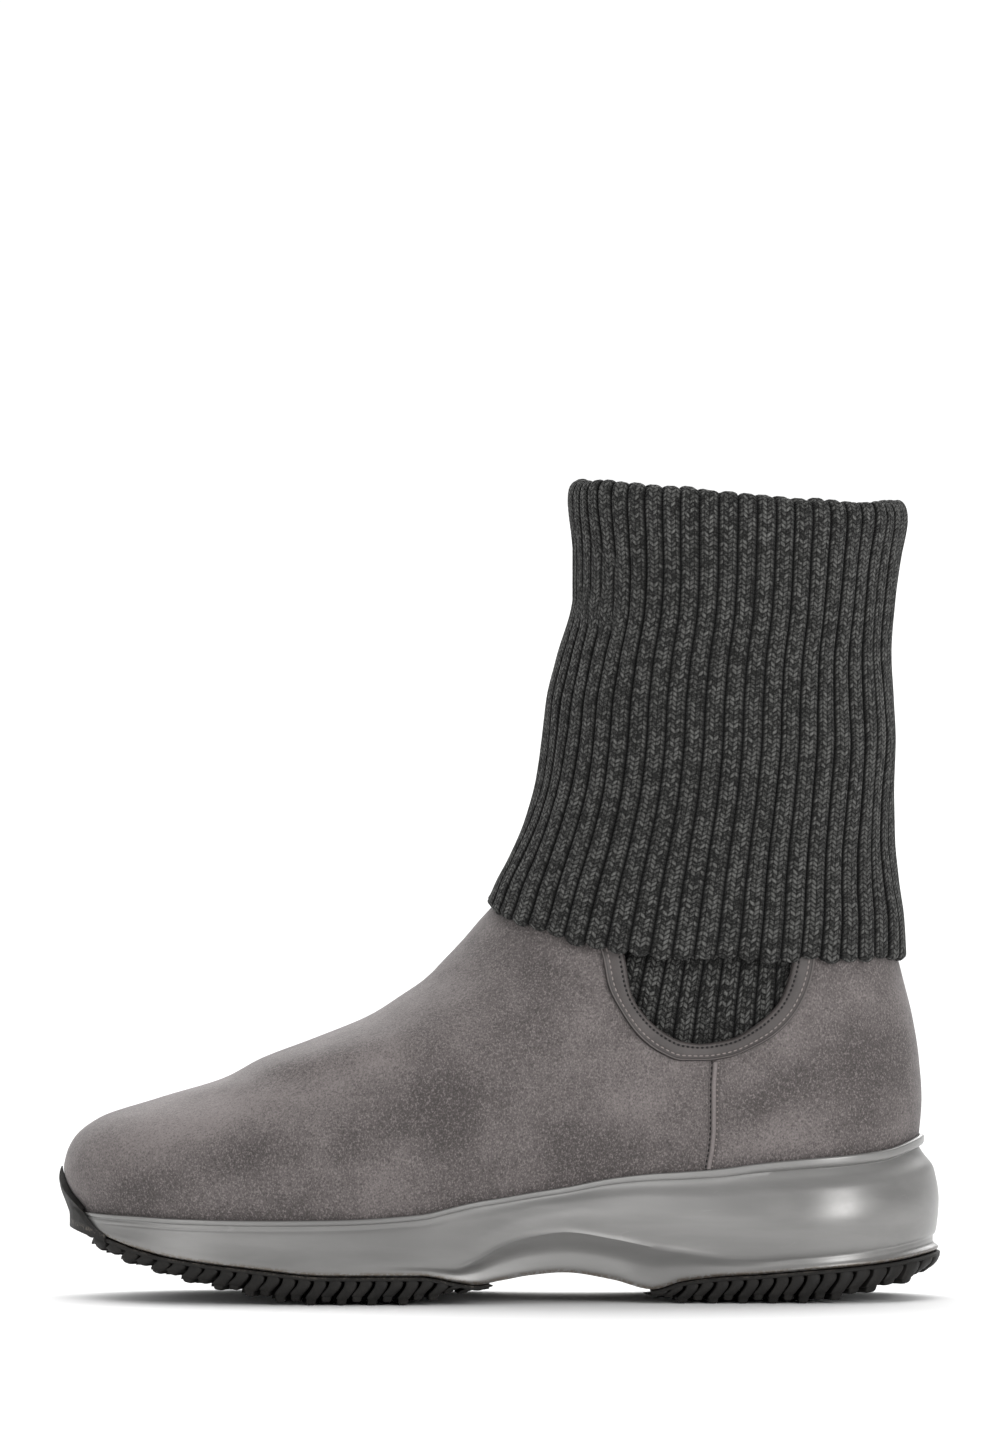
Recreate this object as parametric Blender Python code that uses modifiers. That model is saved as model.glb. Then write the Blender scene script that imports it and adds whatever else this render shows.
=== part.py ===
# Tall boot with a suede foot, a knitted shaft folded down as a cuff, and a two-part lugged sole.
# Left boot: toe at -X, heel at +X, lateral side at -Y, up is +Z, lengths in metres.
import bpy
import bmesh
import numpy as np
from math import pi

# Driving sizes
LENGTH = 0.275          # toe bumper to heel, outside
HEIGHT = 0.254          # ground to the top of the cuff
BALL = 0.096            # width of the upper at the ball
SHAFT = 0.0745          # width of the upper at the ankle
CUFF = 0.0868           # width of the folded cuff
BULGE = 0.0062          # how far the heel of the midsole stands out
WALL = 0.0020           # suede and lining
KNIT = 0.0022           # one layer of knit
EASE = 0.0009           # slack between the knit tube and the lining
RIB = 0.0008            # height of a knit rib
RIBS = 52               # ribs round the cuff
BIND = 0.0011           # thickness of the binding
SEAM = 0.0017           # width of the raised side seam
INSOLE = 0.0035         # footbed
GAP = 0.0003            # air between neighbouring pieces
LUG_PITCH = 0.0047      # spacing of the lugs along the sole
LUG_GROOVE = 0.0018     # width of a groove between two lugs
PLATE = 0.0022          # rubber left above a groove
LUG_LEAST = 0.0012      # least height of a lug
LUG_EDGE = 0.0003       # how far the tread stands out of the midsole
TOE_TUCK = 0.0035       # how far the tread draws in under the toe
FORE_LEAN = 0.0012      # how far a forefoot groove leans toward the toe over LEAN_RISE
HEEL_LEAN = 0.0014      # the same for a heel groove
LEAN_RISE = 0.0100
BELOW = 0.0040          # how far cutters reach under the ground
ASIDE = 0.0750          # how far cutters reach out to a side
FROM_MIDDLE = 0.0120    # where the cutters of one side start
FOLD_RISE = 0.0060      # height of the rolled top of the cuff
TUCK = 0.0010           # how far the tube draws in at its front
BUMPER_SKIN = 0.0010    # least thickness of the toe bumper
BUMPER_RIM = 0.0009     # how far its ends rise over the midsole
BUMPER_FOOT = 0.0012    # how far it runs down behind the tread
BUMPER_REACH = 0.35     # half of the arc of the toe that it covers, in radians
FORE_START = 0.075      # where the forefoot grooves start, as a share of LENGTH
FORE_END = 0.4865       # where the forefoot tread ends
HEEL_START = 0.668      # where the heel tread starts
HEEL_END = 0.985        # where its grooves end

# Tables: places are per cent of LENGTH from the toe, heights per cent of HEIGHT.
FRONT = {"columns": ("height", "place"), "rows": (
    (7.2, 3.6), (9.4, 2.4), (11.5, 1.8), (13.6, 1.5), (15.8, 1.4), (19.5, 2.0), (21.9, 4.5), (24.3, 11.1),
    (26.8, 18.6), (29.2, 22.8), (31.7, 28.8), (34.1, 34.2), (36.6, 38.1), (39.0, 41.4), (41.5, 43.7),
    (43.9, 45.8), (46.2, 47.6), (47.6, 48.8), (48.6, 49.7), (50.2, 50.8), (52.7, 52.2), (57.4, 54.4),
    (62.3, 56.2), (68.4, 57.4), (73.3, 57.8), (79.4, 59.0), (86.7, 60.2), (92.9, 60.5), (102.0, 60.6))}
BACK = {"columns": ("height", "place"), "rows": (
    (7.2, 95.8), (13.3, 96.4), (17.0, 96.9), (20.1, 97.3), (24.3, 97.6), (29.2, 97.3), (34.1, 96.6),
    (39.0, 95.5), (41.5, 94.9), (43.9, 94.2), (46.4, 93.4), (51.3, 92.8), (57.4, 92.4), (65.9, 92.6),
    (73.3, 92.4), (80.6, 92.2), (86.7, 92.4), (92.9, 92.8), (102.0, 93.1))}
# Half widths of the foot in per cent of BALL, lateral and medial side
PLAN = {"columns": ("place", "lateral", "medial"), "rows": (
    (0, -36, 48), (10, -41, 49.5), (20, -46.5, 50), (30, -49.5, 48.5), (38, -50, 45), (50, -46.5, 40.5),
    (60, -42.5, 38), (70, -39, 38), (80, -36.5, 38.5), (90, -35, 38.5), (100, -34, 38))}
CUFF_FRONT = {"columns": ("height", "place"), "rows": (
    (41.0, 44.6), (48.3, 48.2), (51.3, 49.4), (53.7, 50.6), (58.6, 52.7), (63.5, 54.1), (68.4, 54.8),
    (73.3, 55.3), (78.2, 56.4), (85.5, 58.1), (89.2, 58.2), (92.9, 57.9), (97.7, 57.4), (102.0, 57.4))}
CUFF_BACK = {"columns": ("height", "place"), "rows": (
    (41.0, 95.8), (46.4, 95.5), (51.3, 94.8), (56.2, 94.4), (61.0, 94.5), (68.4, 94.9), (73.3, 94.6),
    (79.4, 94.2), (85.5, 94.6), (90.4, 95.1), (95.3, 95.8), (102.0, 95.9))}
HEM = {"columns": ("place", "height"), "rows": (
    (48.2, 48.3), (50.5, 46.7), (53.2, 45.5), (56.0, 44.5), (58.9, 43.9), (63.6, 42.8), (66.8, 42.3),
    (72.5, 41.9), (81.7, 41.6), (89.6, 41.4), (95.8, 41.8))}
FOLD = {"columns": ("place", "height"), "rows": (
    (57.4, 100.0), (61.4, 100.0), (65.9, 99.4), (70.4, 99.1), (74.9, 98.6), (81.7, 98.1), (90.7, 97.5),
    (95.9, 97.4))}
# Lower edge of the knit inside the upper: it dips below the U cut-outs
KNIT_LOW = {"columns": ("place", "height"), "rows": (
    (47.5, 46.4), (55.0, 42.0), (60.0, 35.0), (65.0, 28.8), (70.0, 26.6), (75.0, 26.8), (80.0, 28.8),
    (86.0, 35.0), (90.0, 38.5), (96.0, 40.5))}
COLLAR = {"columns": ("place", "height"), "rows": (
    (0, 52.0), (50.0, 52.0), (70.0, 49.0), (93.0, 46.0), (100, 45.5))}
SOLE_LINES = {"columns": ("place", "top", "floor", "crease", "bottom"), "rows": (
    (1.5, 10.7, 10.2, 9.8, 9.5), (5.2, 10.6, 9.4, 8.9, 8.2), (9.3, 10.5, 8.2, 8.0, 6.6),
    (13.7, 10.3, 7.5, 6.9, 5.5), (21.7, 10.2, 7.3, 5.8, 4.4), (30.8, 10.3, 7.2, 4.9, 3.5),
    (41.0, 11.0, 7.7, 4.7, 3.5), (44.7, 11.9, 8.1, 4.5, 2.8), (47.2, 12.5, 8.5, 5.5, 2.4),
    (50.1, 13.0, 9.0, 7.2, 2.9), (53.4, 13.6, 9.5, 8.3, 3.5), (57.1, 14.2, 10.2, 8.8, 3.8),
    (62.6, 15.3, 11.4, 7.9, 2.9), (67.0, 15.8, 12.0, 6.9, 1.7), (70.3, 16.0, 12.3, 6.3, 2.7),
    (74.9, 16.4, 12.6, 5.6, 3.3), (78.3, 16.9, 13.0, 5.4, 3.5), (84.0, 17.5, 13.4, 5.8, 4.0),
    (89.5, 18.0, 13.9, 6.4, 4.5), (93.2, 18.5, 14.2, 7.0, 5.0), (97.3, 20.0, 14.8, 8.0, 5.9))}
# How far the sides stand out from the upper, in per cent of BULGE; bead is the height of the lip
SIDES = {"columns": ("place", "bead", "lip", "groove", "shoulder", "bulge", "crease", "scoop", "edge"), "rows": (
    (1.5, 16, 15, 14, 15, 15, 15, 15, 14), (6.0, 22, 26, 20, 24, 26, 30, 34, 34),
    (14.0, 28, 30, 22, 26, 28, 34, 40, 42), (30.0, 30, 30, 20, 26, 28, 38, 42, 44),
    (42.0, 30, 28, 20, 28, 36, 46, 34, 34), (48.0, 30, 26, 20, 34, 48, 52, -6, 4),
    (56.0, 30, 24, 18, 38, 56, 52, -34, -30), (64.0, 34, 24, 18, 42, 62, 58, -22, -10),
    (70.0, 40, 24, 18, 46, 70, 66, 30, 26), (80.0, 50, 26, 18, 54, 84, 72, 58, 66),
    (90.0, 56, 34, 16, 64, 96, 78, 72, 82), (97.3, 60, 50, 24, 74, 100, 84, 68, 90))}
# Underside of the treads
GROUND_FRONT = {"columns": ("place", "height"), "rows": (
    (0, 11.0), (1.6, 9.4), (2.8, 8.1), (5.2, 6.2), (8.2, 4.8), (11.9, 3.6), (14.4, 2.8), (17.4, 2.0),
    (20.8, 1.3), (25.2, 0.4), (28.5, 0), (39.0, 0), (42.0, 0.5), (44.4, 1.1), (48.6, 1.9))}
GROUND_HEEL = {"columns": ("place", "height"), "rows": (
    (66.4, 1.3), (69.0, 0.3), (71.5, 0), (84.0, 0), (86.2, 0.2), (89.2, 0.8), (90.6, 1.2), (92.9, 1.8),
    (94.9, 2.4), (97.1, 3.3), (98.9, 4.4), (101.0, 5.6))}
U_INNER = {"columns": ("place", "height"), "rows": (
    (62.6, 56.0), (62.8, 46.4), (63.6, 42.8), (64.5, 37.7), (66.3, 34.6), (68.4, 32.7), (70.3, 31.7),
    (72.4, 31.4), (74.7, 31.7), (76.4, 32.2), (78.2, 33.3), (80.0, 34.8), (81.5, 36.7), (82.7, 40.2),
    (83.4, 43.9), (83.6, 56.0))}
U_OUTER = {"columns": ("place", "height"), "rows": (
    (60.7, 44.6), (61.4, 42.2), (62.0, 38.7), (63.5, 35.4), (65.6, 32.3), (67.8, 30.5), (70.3, 29.5),
    (72.9, 29.5), (75.6, 29.9), (78.2, 31.0), (80.9, 32.7), (83.3, 35.6), (84.5, 38.3), (85.1, 41.0),
    (85.4, 44.6))}
SIDE_SEAM = {"columns": ("place", "height"), "rows": (
    (74.1, 29.4), (73.9, 25.7), (73.9, 21.8), (73.7, 18.8), (73.4, 16.9))}
# Toe bumper at its centre: stand-off from the upper in per cent of BULGE, height
BUMPER = {"columns": ("height", "off"), "rows": (
    (16.0, 50), (14.5, 70), (13.0, 74), (11.6, 60), (10.3, 34), (9.3, 8))}


def column(table, name):
    """One named column of a table as shares."""
    return np.array([row[table["columns"].index(name)] for row in table["rows"]], float) / 100.0


def follow(table, name, at):
    """Smooth value of a named column at a place along the first column."""
    x = column(table, table["columns"][0])
    y = column(table, name)
    h = np.diff(x)
    d = np.diff(y) / h
    m = np.zeros(len(x))
    m[0] = d[0]
    m[-1] = d[-1]
    for i in range(1, len(x) - 1):
        if d[i - 1] * d[i] > 0:
            w1 = 2 * h[i] + h[i - 1]
            w2 = h[i] + 2 * h[i - 1]
            m[i] = (w1 + w2) / (w1 / d[i - 1] + w2 / d[i])
    at = np.clip(np.asarray(at, float), x[0], x[-1])
    i = np.clip(np.searchsorted(x, at, "right") - 1, 0, len(x) - 2)
    t = (at - x[i]) / h[i]
    low = (1 + 2 * t) * (1 - t) ** 2 * y[i] + t * (1 - t) ** 2 * h[i] * m[i]
    high = t * t * (3 - 2 * t) * y[i + 1] + t * t * (t - 1) * h[i] * m[i + 1]
    return low + high


def follow_down(table, name, at):
    """Straight-line value of a named column of a table whose first column falls."""
    return np.interp(at, column(table, table["columns"][0])[::-1], column(table, name)[::-1])


def place(x):
    """Share of the length at a lengthwise position."""
    return np.asarray(x) / LENGTH + 0.5


def line_at(table, name):
    """Height of a line as a function of the lengthwise position."""
    return lambda x: HEIGHT * follow(table, name, place(x))


def end_at(table):
    """Lengthwise position of an end line as a function of height."""
    return lambda z: LENGTH * (follow(table, "place", np.asarray(z) / HEIGHT) - 0.5)


def ease(t):
    t = np.clip(t, 0.0, 1.0)
    return t * t * (3 - 2 * t)


def cap(t, n):
    """Rounded end: 0 at the tip, 1 where the full width is reached."""
    return (1 - (1 - np.clip(t, 0.0, 1.0)) ** n) ** (1.0 / n)


body_front = end_at(FRONT)
body_back = end_at(BACK)
sole_top = line_at(SOLE_LINES, "top")
sole_floor = line_at(SOLE_LINES, "floor")
sole_crease = line_at(SOLE_LINES, "crease")
sole_bottom = line_at(SOLE_LINES, "bottom")

RIDGE_Z = np.linspace(0.158 * HEIGHT, 1.02 * HEIGHT, 400)
RIDGE_X = np.maximum.accumulate(body_front(RIDGE_Z)) + 1e-7 * np.arange(400)


def body_side(x, z, side):
    """Across position of the skin of the foot and shaft, side -1 lateral and +1 medial."""
    u = place(x)
    lateral = BALL * follow(PLAN, "lateral", u)
    medial = BALL * follow(PLAN, "medial", u)
    up = ease((z / HEIGHT - 0.24) / 0.20)
    waist = 1.0 - 0.07 * np.sin(pi * np.clip((z / HEIGHT - 0.18) / 0.30, 0, 1)) * ease((u - 0.55) / 0.3)
    centre = (1 - up) * (lateral + medial) / 2 + up * 0.002
    half = ((1 - up) * (medial - lateral) / 2 + up * SHAFT / 2) * waist
    pinch = 1.0 - 0.045 * (1 - ease((z - sole_top(x)) / 0.016)) ** 2
    nose = (1 - up) * 0.225 * LENGTH + up * 0.235 * LENGTH
    tail = (1 - up) * 0.135 * LENGTH + up * 0.165 * LENGTH
    t1 = np.maximum((x - body_front(z)) / nose, 1e-6)
    ridge = np.interp(x, RIDGE_X, RIDGE_Z)
    t2 = np.maximum((ridge - z) / np.maximum(ridge - sole_top(x) - 0.004, 0.02), 1e-6)
    t2 = np.where(z < 0.158 * HEIGHT, 1.0, np.minimum(t2, 1.0) * (1 - up) + up)
    q = np.minimum((np.minimum(t1, 1) ** -3 + np.minimum(t2, 1) ** -3) ** (-1 / 3) * 2 ** (1 / 3), 1.0)
    t3 = (body_back(z) - x) / tail
    n = 2.25 - 0.2 * up
    return centre + side * half * pinch * cap(q, n) * cap(t3, 2.2)


cuff_front = end_at(CUFF_FRONT)
cuff_back = end_at(CUFF_BACK)


def cuff_side(x, z, side):
    """Across position of the outside of the cuff."""
    f = cuff_front(z)
    b = cuff_back(z)
    nose = 0.50 * (b - f)
    tail = 0.50 * (b - f)
    swell = 1.0 - 0.03 * ease((z / HEIGHT - 0.47) / 0.2) + 0.04 * ease((z / HEIGHT - 0.72) / 0.25)
    t = np.where(x < f + nose, (x - f) / nose, (b - x) / tail)
    return 0.002 + side * CUFF / 2 * swell * cap(t, 2.25)


def ring(height, angles, front=body_front, back=body_back, across=body_side, even=False):
    """One closed outline on a skin, at the height given along its length."""
    ends = []
    for end in (front, back):
        low, high = -0.6 * LENGTH, 0.6 * LENGTH
        for _ in range(44):
            mid = (low + high) / 2
            if mid < end(height(mid)):
                low = mid
            else:
                high = mid
        ends.append((low + high) / 2)
    def points(a):
        x = ends[0] + (ends[1] - ends[0]) * (1 - np.cos(a)) / 2
        z = height(x)
        side = np.where(np.sin(a) >= 0, -1.0, 1.0)
        return np.stack([x, across(x, z, side), z], 1)
    if not even:
        return points(np.asarray(angles))
    a = np.linspace(0, 2 * pi, 1441)
    dense = points(a)
    run = np.concatenate([[0], np.cumsum(np.hypot(*np.diff(dense[:, :2], axis=0).T))])
    want = np.asarray(angles) / (2 * pi) * run[-1]
    return np.stack([np.interp(want, run, dense[:, i]) for i in range(3)], 1)


def full(count):
    return np.arange(count) * 2 * pi / count


def flat_normals(points, closed=True):
    """Outward directions in plan for an outline that starts at the toe and runs along -Y."""
    if closed:
        t = np.roll(points, -1, 0) - np.roll(points, 1, 0)
    else:
        t = np.gradient(points, axis=0)
    n = np.stack([t[:, 1], -t[:, 0], np.zeros(len(t))], 1)
    return n / np.linalg.norm(n, axis=1)[:, None]


def skin_normals(grid, closed=True):
    """Outward directions of a grid whose rows are outlines from low to high."""
    up = np.gradient(grid, axis=0)
    if closed:
        along = np.roll(grid, -1, 1) - np.roll(grid, 1, 1)
    else:
        along = np.gradient(grid, axis=1)
    n = np.cross(along, up)
    return n / np.linalg.norm(n, axis=2)[:, :, None]


def blend(low, high, share):
    return lambda x: low(x) + (high(x) - low(x)) * share


def start():
    for item in list(bpy.data.objects):
        bpy.data.objects.remove(item, do_unlink=True)
    for mesh in list(bpy.data.meshes):
        bpy.data.meshes.remove(mesh)
    box = bpy.data.collections.new("tall_boot")
    bpy.context.scene.collection.children.link(box)
    return box


def add(name, verts, faces, smooth=True):
    mesh = bpy.data.meshes.new(name)
    mesh.from_pydata([tuple(v) for v in verts], [], faces)
    bm = bmesh.new()
    bm.from_mesh(mesh)
    bmesh.ops.recalc_face_normals(bm, faces=bm.faces)
    bm.to_mesh(mesh)
    bm.free()
    for polygon in mesh.polygons:
        polygon.use_smooth = smooth
    item = bpy.data.objects.new(name, mesh)
    MAIN.objects.link(item)
    return item


def settle(item):
    """Make an object's modifiers real."""
    bpy.context.view_layer.update()
    graph = bpy.context.evaluated_depsgraph_get()
    mesh = bpy.data.meshes.new_from_object(item.evaluated_get(graph))
    old = item.data
    item.modifiers.clear()
    item.data = mesh
    bpy.data.meshes.remove(old)
    mesh.name = item.name


def combine(item, other, how):
    """Boolean of one object with another, which is then removed."""
    mod = item.modifiers.new("combine", "BOOLEAN")
    mod.operation = how
    mod.solver = "EXACT"
    mod.object = other
    settle(item)
    bpy.data.objects.remove(other, do_unlink=True)


def loft(name, rings, wrap_rings=False, ends=(), closed=True):
    """Solid or surface through rows of points; ends names ladder-closed rows: 'first', 'last'."""
    count = len(rings[0])
    verts = np.concatenate(rings)
    faces = []
    rows = len(rings)
    for i in range(rows if wrap_rings else rows - 1):
        a = i * count
        b = ((i + 1) % rows) * count
        for k in range(count if closed else count - 1):
            k2 = (k + 1) % count
            faces.append((a + k, a + k2, b + k2, b + k))
    for end in ends:
        base = 0 if end == "first" else (rows - 1) * count
        if closed:
            pairs = [(base + k, base + (count - k) % count) for k in range(count // 2 + 1)]
        else:
            pairs = [(base + k, base + count - 1 - k) for k in range((count + 1) // 2)]
        for (a, b), (c, d) in zip(pairs[:-1], pairs[1:]):
            faces.append(tuple(dict.fromkeys((a, c, d, b))))
    return add(name, verts, faces)


def shell_patch(name, outer, inner):
    """Solid between two open grids of the same shape."""
    rows, count = outer.shape[:2]
    verts = np.concatenate([outer.reshape(-1, 3), inner.reshape(-1, 3)])
    off = rows * count
    faces = []
    for i in range(rows - 1):
        for k in range(count - 1):
            a = i * count + k
            faces.append((a, a + 1, a + count + 1, a + count))
            faces.append((off + a, off + a + count, off + a + count + 1, off + a + 1))
    rim = [i for i in range(count)] + [i * count + count - 1 for i in range(1, rows)]
    rim += [(rows - 1) * count + k for k in range(count - 2, -1, -1)] + [i * count for i in range(rows - 2, 0, -1)]
    for a, b in zip(rim, rim[1:] + rim[:1]):
        faces.append((a, off + a, off + b, b))
    return add(name, verts, faces)


def prism(name, outline, y0, y1):
    """Upright prism: an outline in length and height run across from y0 to y1."""
    n = len(outline)
    verts = [(x, y0, z) for x, z in outline] + [(x, y1, z) for x, z in outline]
    faces = [tuple(range(n)), tuple(range(2 * n - 1, n - 1, -1))]
    for k in range(n):
        k2 = (k + 1) % n
        faces.append((k, k + n, k2 + n, k2))
    return add(name, verts, faces, smooth=False)


def outline_of(table):
    return list(zip(LENGTH * (column(table, table["columns"][0]) - 0.5), HEIGHT * column(table, "height")))


def spaced_rows(low, high, count):
    """Shares between two lines that come out evenly spaced along the toe and instep."""
    share = np.linspace(0, 1, 160)
    tips = np.array([ring(blend(low, high, s), [0, pi]) for s in share])
    step = np.hypot(*np.diff(tips[:, 0, [0, 2]], axis=0).T)
    rise = np.abs(np.diff(tips[:, 1, 2]))
    run = np.concatenate([[0], np.cumsum(step + 0.9 * rise)])
    return np.interp(np.linspace(0, run[-1], count), run, share)


def make_upper():
    low = lambda x: sole_floor(x) + GAP
    high = line_at(COLLAR, "height")
    angles = full(44)
    rows = [ring(blend(low, high, s), angles) for s in spaced_rows(low, high, 20)]
    item = loft("upper", rows)
    mod = item.modifiers.new("wall", "SOLIDIFY")
    mod.thickness = WALL
    mod.offset = -1.0
    mod.use_even_offset = True
    mod.use_rim = True
    settle(item)
    inner = outline_of(U_INNER)
    for y0, y1 in ((-ASIDE, -FROM_MIDDLE), (FROM_MIDDLE, ASIDE)):
        combine(item, prism("cut", inner, y0, y1), "DIFFERENCE")
    return item


def skin_rows(low, high, shares, angles, away, **how):
    """Rows of a skin between two lines, moved outward by a distance (per column allowed)."""
    grid = np.stack([ring(blend(low, high, s), angles, **how) for s in shares])
    n = skin_normals(grid, closed=True)
    return grid + n * np.asarray(away)[None, :, None] if np.ndim(away) else grid + n * away


def make_knit():
    count = 2 * RIBS
    angles = full(count)
    ridge = np.where(np.arange(count) % 2 == 0, 0.0, -RIB)
    tuck = ridge - TUCK * np.clip(np.cos(angles), 0, 1) ** 8
    low = line_at(KNIT_LOW, "height")
    top = line_at(FOLD, "height")
    hem = line_at(HEM, "height")
    under = lambda x: top(x) - FOLD_RISE
    way = dict(front=cuff_front, back=cuff_back, across=cuff_side, even=True)

    def tube(shares, depth):
        """Rows of the inner tube: on the lining up to the collar, and close behind the cuff above it."""
        near_body = skin_rows(low, under, shares, angles, tuck - WALL - EASE - depth, even=True)
        near_cuff = skin_rows(low, under, shares, angles, tuck - KNIT - EASE - depth, **way)
        part = ease((near_body[:, :, 2:] / HEIGHT - 0.53) / 0.12)
        return near_body * (1 - part) + near_cuff * part
    tube_out = tube((0, 0.16, 0.34, 0.48, 0.62, 1.0), 0.0)
    tube_in = tube((0, 0.34, 0.48, 0.62, 1.0), KNIT)
    cuff_in = skin_rows(hem, under, (0, 0.16, 0.45, 1.0), angles, -KNIT, **way)
    cuff_out = skin_rows(hem, under, (0, 0.05, 0.16, 0.4, 0.7, 1.0), angles, ridge, **way)
    rise = top(cuff_out[-1][:, 0]) - under(cuff_out[-1][:, 0])
    def over(share, lift):
        row = cuff_out[-1] * (1 - share) + tube_in[-1] * share
        row = row.copy()
        row[:, 2] = under(row[:, 0]) + rise * lift + np.where(np.arange(count) % 2 == 0, 0.0, -RIB)
        return row
    rows = list(tube_out) + list(cuff_in[::-1]) + list(cuff_out)
    rows += [over(0.12, 0.78), over(0.5, 1.0), over(0.88, 0.78)] + list(tube_in[::-1])
    return loft("knit_shaft", rows, wrap_rings=True)


def sole_offsets(u, name):
    return BULGE * follow(SIDES, name, u)


def make_midsole():
    angles = full(88)
    base = ring(sole_top, angles)
    n = flat_normals(base)
    u = place(base[:, 0])
    top = sole_top(base[:, 0])
    crease = sole_crease(base[:, 0])
    bottom = sole_bottom(base[:, 0])
    bead = BULGE * follow(SIDES, "bead", u)

    def level(away, z):
        row = base + n * away[:, None]
        row[:, 2] = z
        return row
    rows = [
        level(sole_offsets(u, "edge") - 0.0006, bottom),
        level(sole_offsets(u, "edge"), bottom * 0.86 + crease * 0.14),
        level(sole_offsets(u, "scoop"), bottom * 0.5 + crease * 0.5),
        level(sole_offsets(u, "crease"), crease),
        level(sole_offsets(u, "bulge"), crease * 0.62 + (top - bead) * 0.38),
        level(sole_offsets(u, "shoulder"), crease * 0.25 + (top - bead) * 0.75),
        level(sole_offsets(u, "groove"), top - bead),
        level(sole_offsets(u, "lip"), top - bead * 0.55),
        level(sole_offsets(u, "lip") * 0.7 + 0.0002, top)]
    cup = []
    for share in (1.0, 0.5, 0.0):
        row = ring(blend(sole_floor, sole_top, share), full(44))
        row = row + flat_normals(row) * GAP * 1.3
        cup.append(np.stack([row, (row + np.roll(row, -1, 0)) / 2], 1).reshape(-1, 3))
    return loft("midsole", rows + cup, ends=("first", "last"))


def make_insole():
    low = lambda x: sole_floor(x) + GAP
    high = lambda x: sole_floor(x) + GAP + np.minimum(INSOLE, 0.0016 + 0.10 * np.maximum(x + 0.5 * LENGTH - 0.02, 0))
    rows = []
    for line in (low, high):
        row = ring(line, full(44))
        rows.append(row - flat_normals(row) * (WALL + 2.2 * GAP))
    return loft("insole", rows, ends=("first", "last"))


def side_grid(side, first, last, low, high, rows, count):
    """Open grid on one side of the skin, between two shares of the length."""
    grid = []
    for s in np.linspace(0, 1, rows):
        height = blend(low, high, s)
        x = LENGTH * (np.linspace(first, last, count) - 0.5)
        z = height(x)
        grid.append(np.stack([x, body_side(x, z, np.full(count, side)), z], 1))
    return np.stack(grid)


def overlay(name, side, region, first, last, low, high, thick, rows, count):
    grid = side_grid(side, first, last, low, high, rows, count)
    n = skin_normals(grid, closed=False)
    n = n * np.sign(n[:, :, 1:2]) * side
    item = shell_patch(name, grid + n * (GAP + thick), grid + n * GAP)
    wide = sorted((side * 0.010, side * 0.080))
    combine(item, prism("region", region, *wide), "INTERSECT")
    return item


def make_trims():
    made = []
    inner = [p for p in outline_of(U_INNER) if p[1] < 0.445 * HEIGHT]
    inner = [(inner[0][0], 0.446 * HEIGHT)] + inner + [(inner[-1][0], 0.446 * HEIGHT)]
    band = outline_of(U_OUTER) + inner[::-1]
    seam = [(x, z) for x, z in outline_of(SIDE_SEAM)]
    seam[0] = (seam[0][0], 0.2945 * HEIGHT - 1.5 * GAP)
    strip = [(x - SEAM / 2, z) for x, z in seam] + [(x + SEAM / 2, z) for x, z in seam[::-1]]
    flat = lambda share: (lambda x: np.full_like(np.asarray(x, float), share * HEIGHT))
    for side, word in ((-1.0, "lateral"), (1.0, "medial")):
        made.append(overlay("gore_binding_" + word, side, band, 0.60, 0.86, flat(0.28), flat(0.46), BIND, 12, 22))
        foot = lambda x: sole_top(x) - 0.002
        made.append(overlay("side_seam_" + word, side, strip, 0.72, 0.755, foot, flat(0.31), BIND * 0.8, 12, 3))
    return made


def angle_at(share):
    """Angle on the sole outline at a share of the length."""
    tips = ring(sole_top, [0, pi])
    x = LENGTH * (share - 0.5)
    return np.arccos(1 - 2 * (x - tips[0][0]) / (tips[1][0] - tips[0][0]))


def block(name, angles, ground):
    """Closed block from an open outline: sides, straight back, top and bottom."""
    base = ring(sole_top, angles)
    n = flat_normals(base, closed=False)
    u = place(base[:, 0])
    away = sole_offsets(u, "edge")
    roof = sole_bottom(base[:, 0]) - 1.8 * GAP
    toe = 1.0 - ease((u - 0.016) / 0.06)
    rows = []
    for share, extra in ((0.0, 1.0), (0.30, 2.3), (1.0, 0.0)):
        row = base + n * (away + LUG_EDGE * extra - toe * TOE_TUCK * share)[:, None]
        low = np.minimum(ground(row[:, 0]), roof - LUG_LEAST)
        row[:, 2] = roof * (1 - share) + low * share
        rows.append(row)
    count = len(angles)
    verts = np.concatenate(rows)
    faces = []
    for i in range(2):
        a, b = i * count, (i + 1) * count
        for k in range(count):
            k2 = (k + 1) % count
            faces.append((a + k, a + k2, b + k2, b + k))
    for base_i in (0, 2 * count):
        pairs = [(base_i + k, base_i + count - 1 - k) for k in range(count // 2 + 1)]
        for (a, b), (c, d) in zip(pairs[:-1], pairs[1:]):
            face = tuple(dict.fromkeys((a, c, d, b)))
            if len(face) > 2:
                faces.append(face)
            if c >= d:
                break
    return add(name, verts, faces, smooth=False)


def groove(x, roof, lean, width):
    """Slot across the sole, leaning toward the toe as it goes down."""
    half = width / 2
    return [(x - half, roof), (x + half, roof), (x + half - lean, -BELOW), (x - half - lean, -BELOW)]


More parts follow.
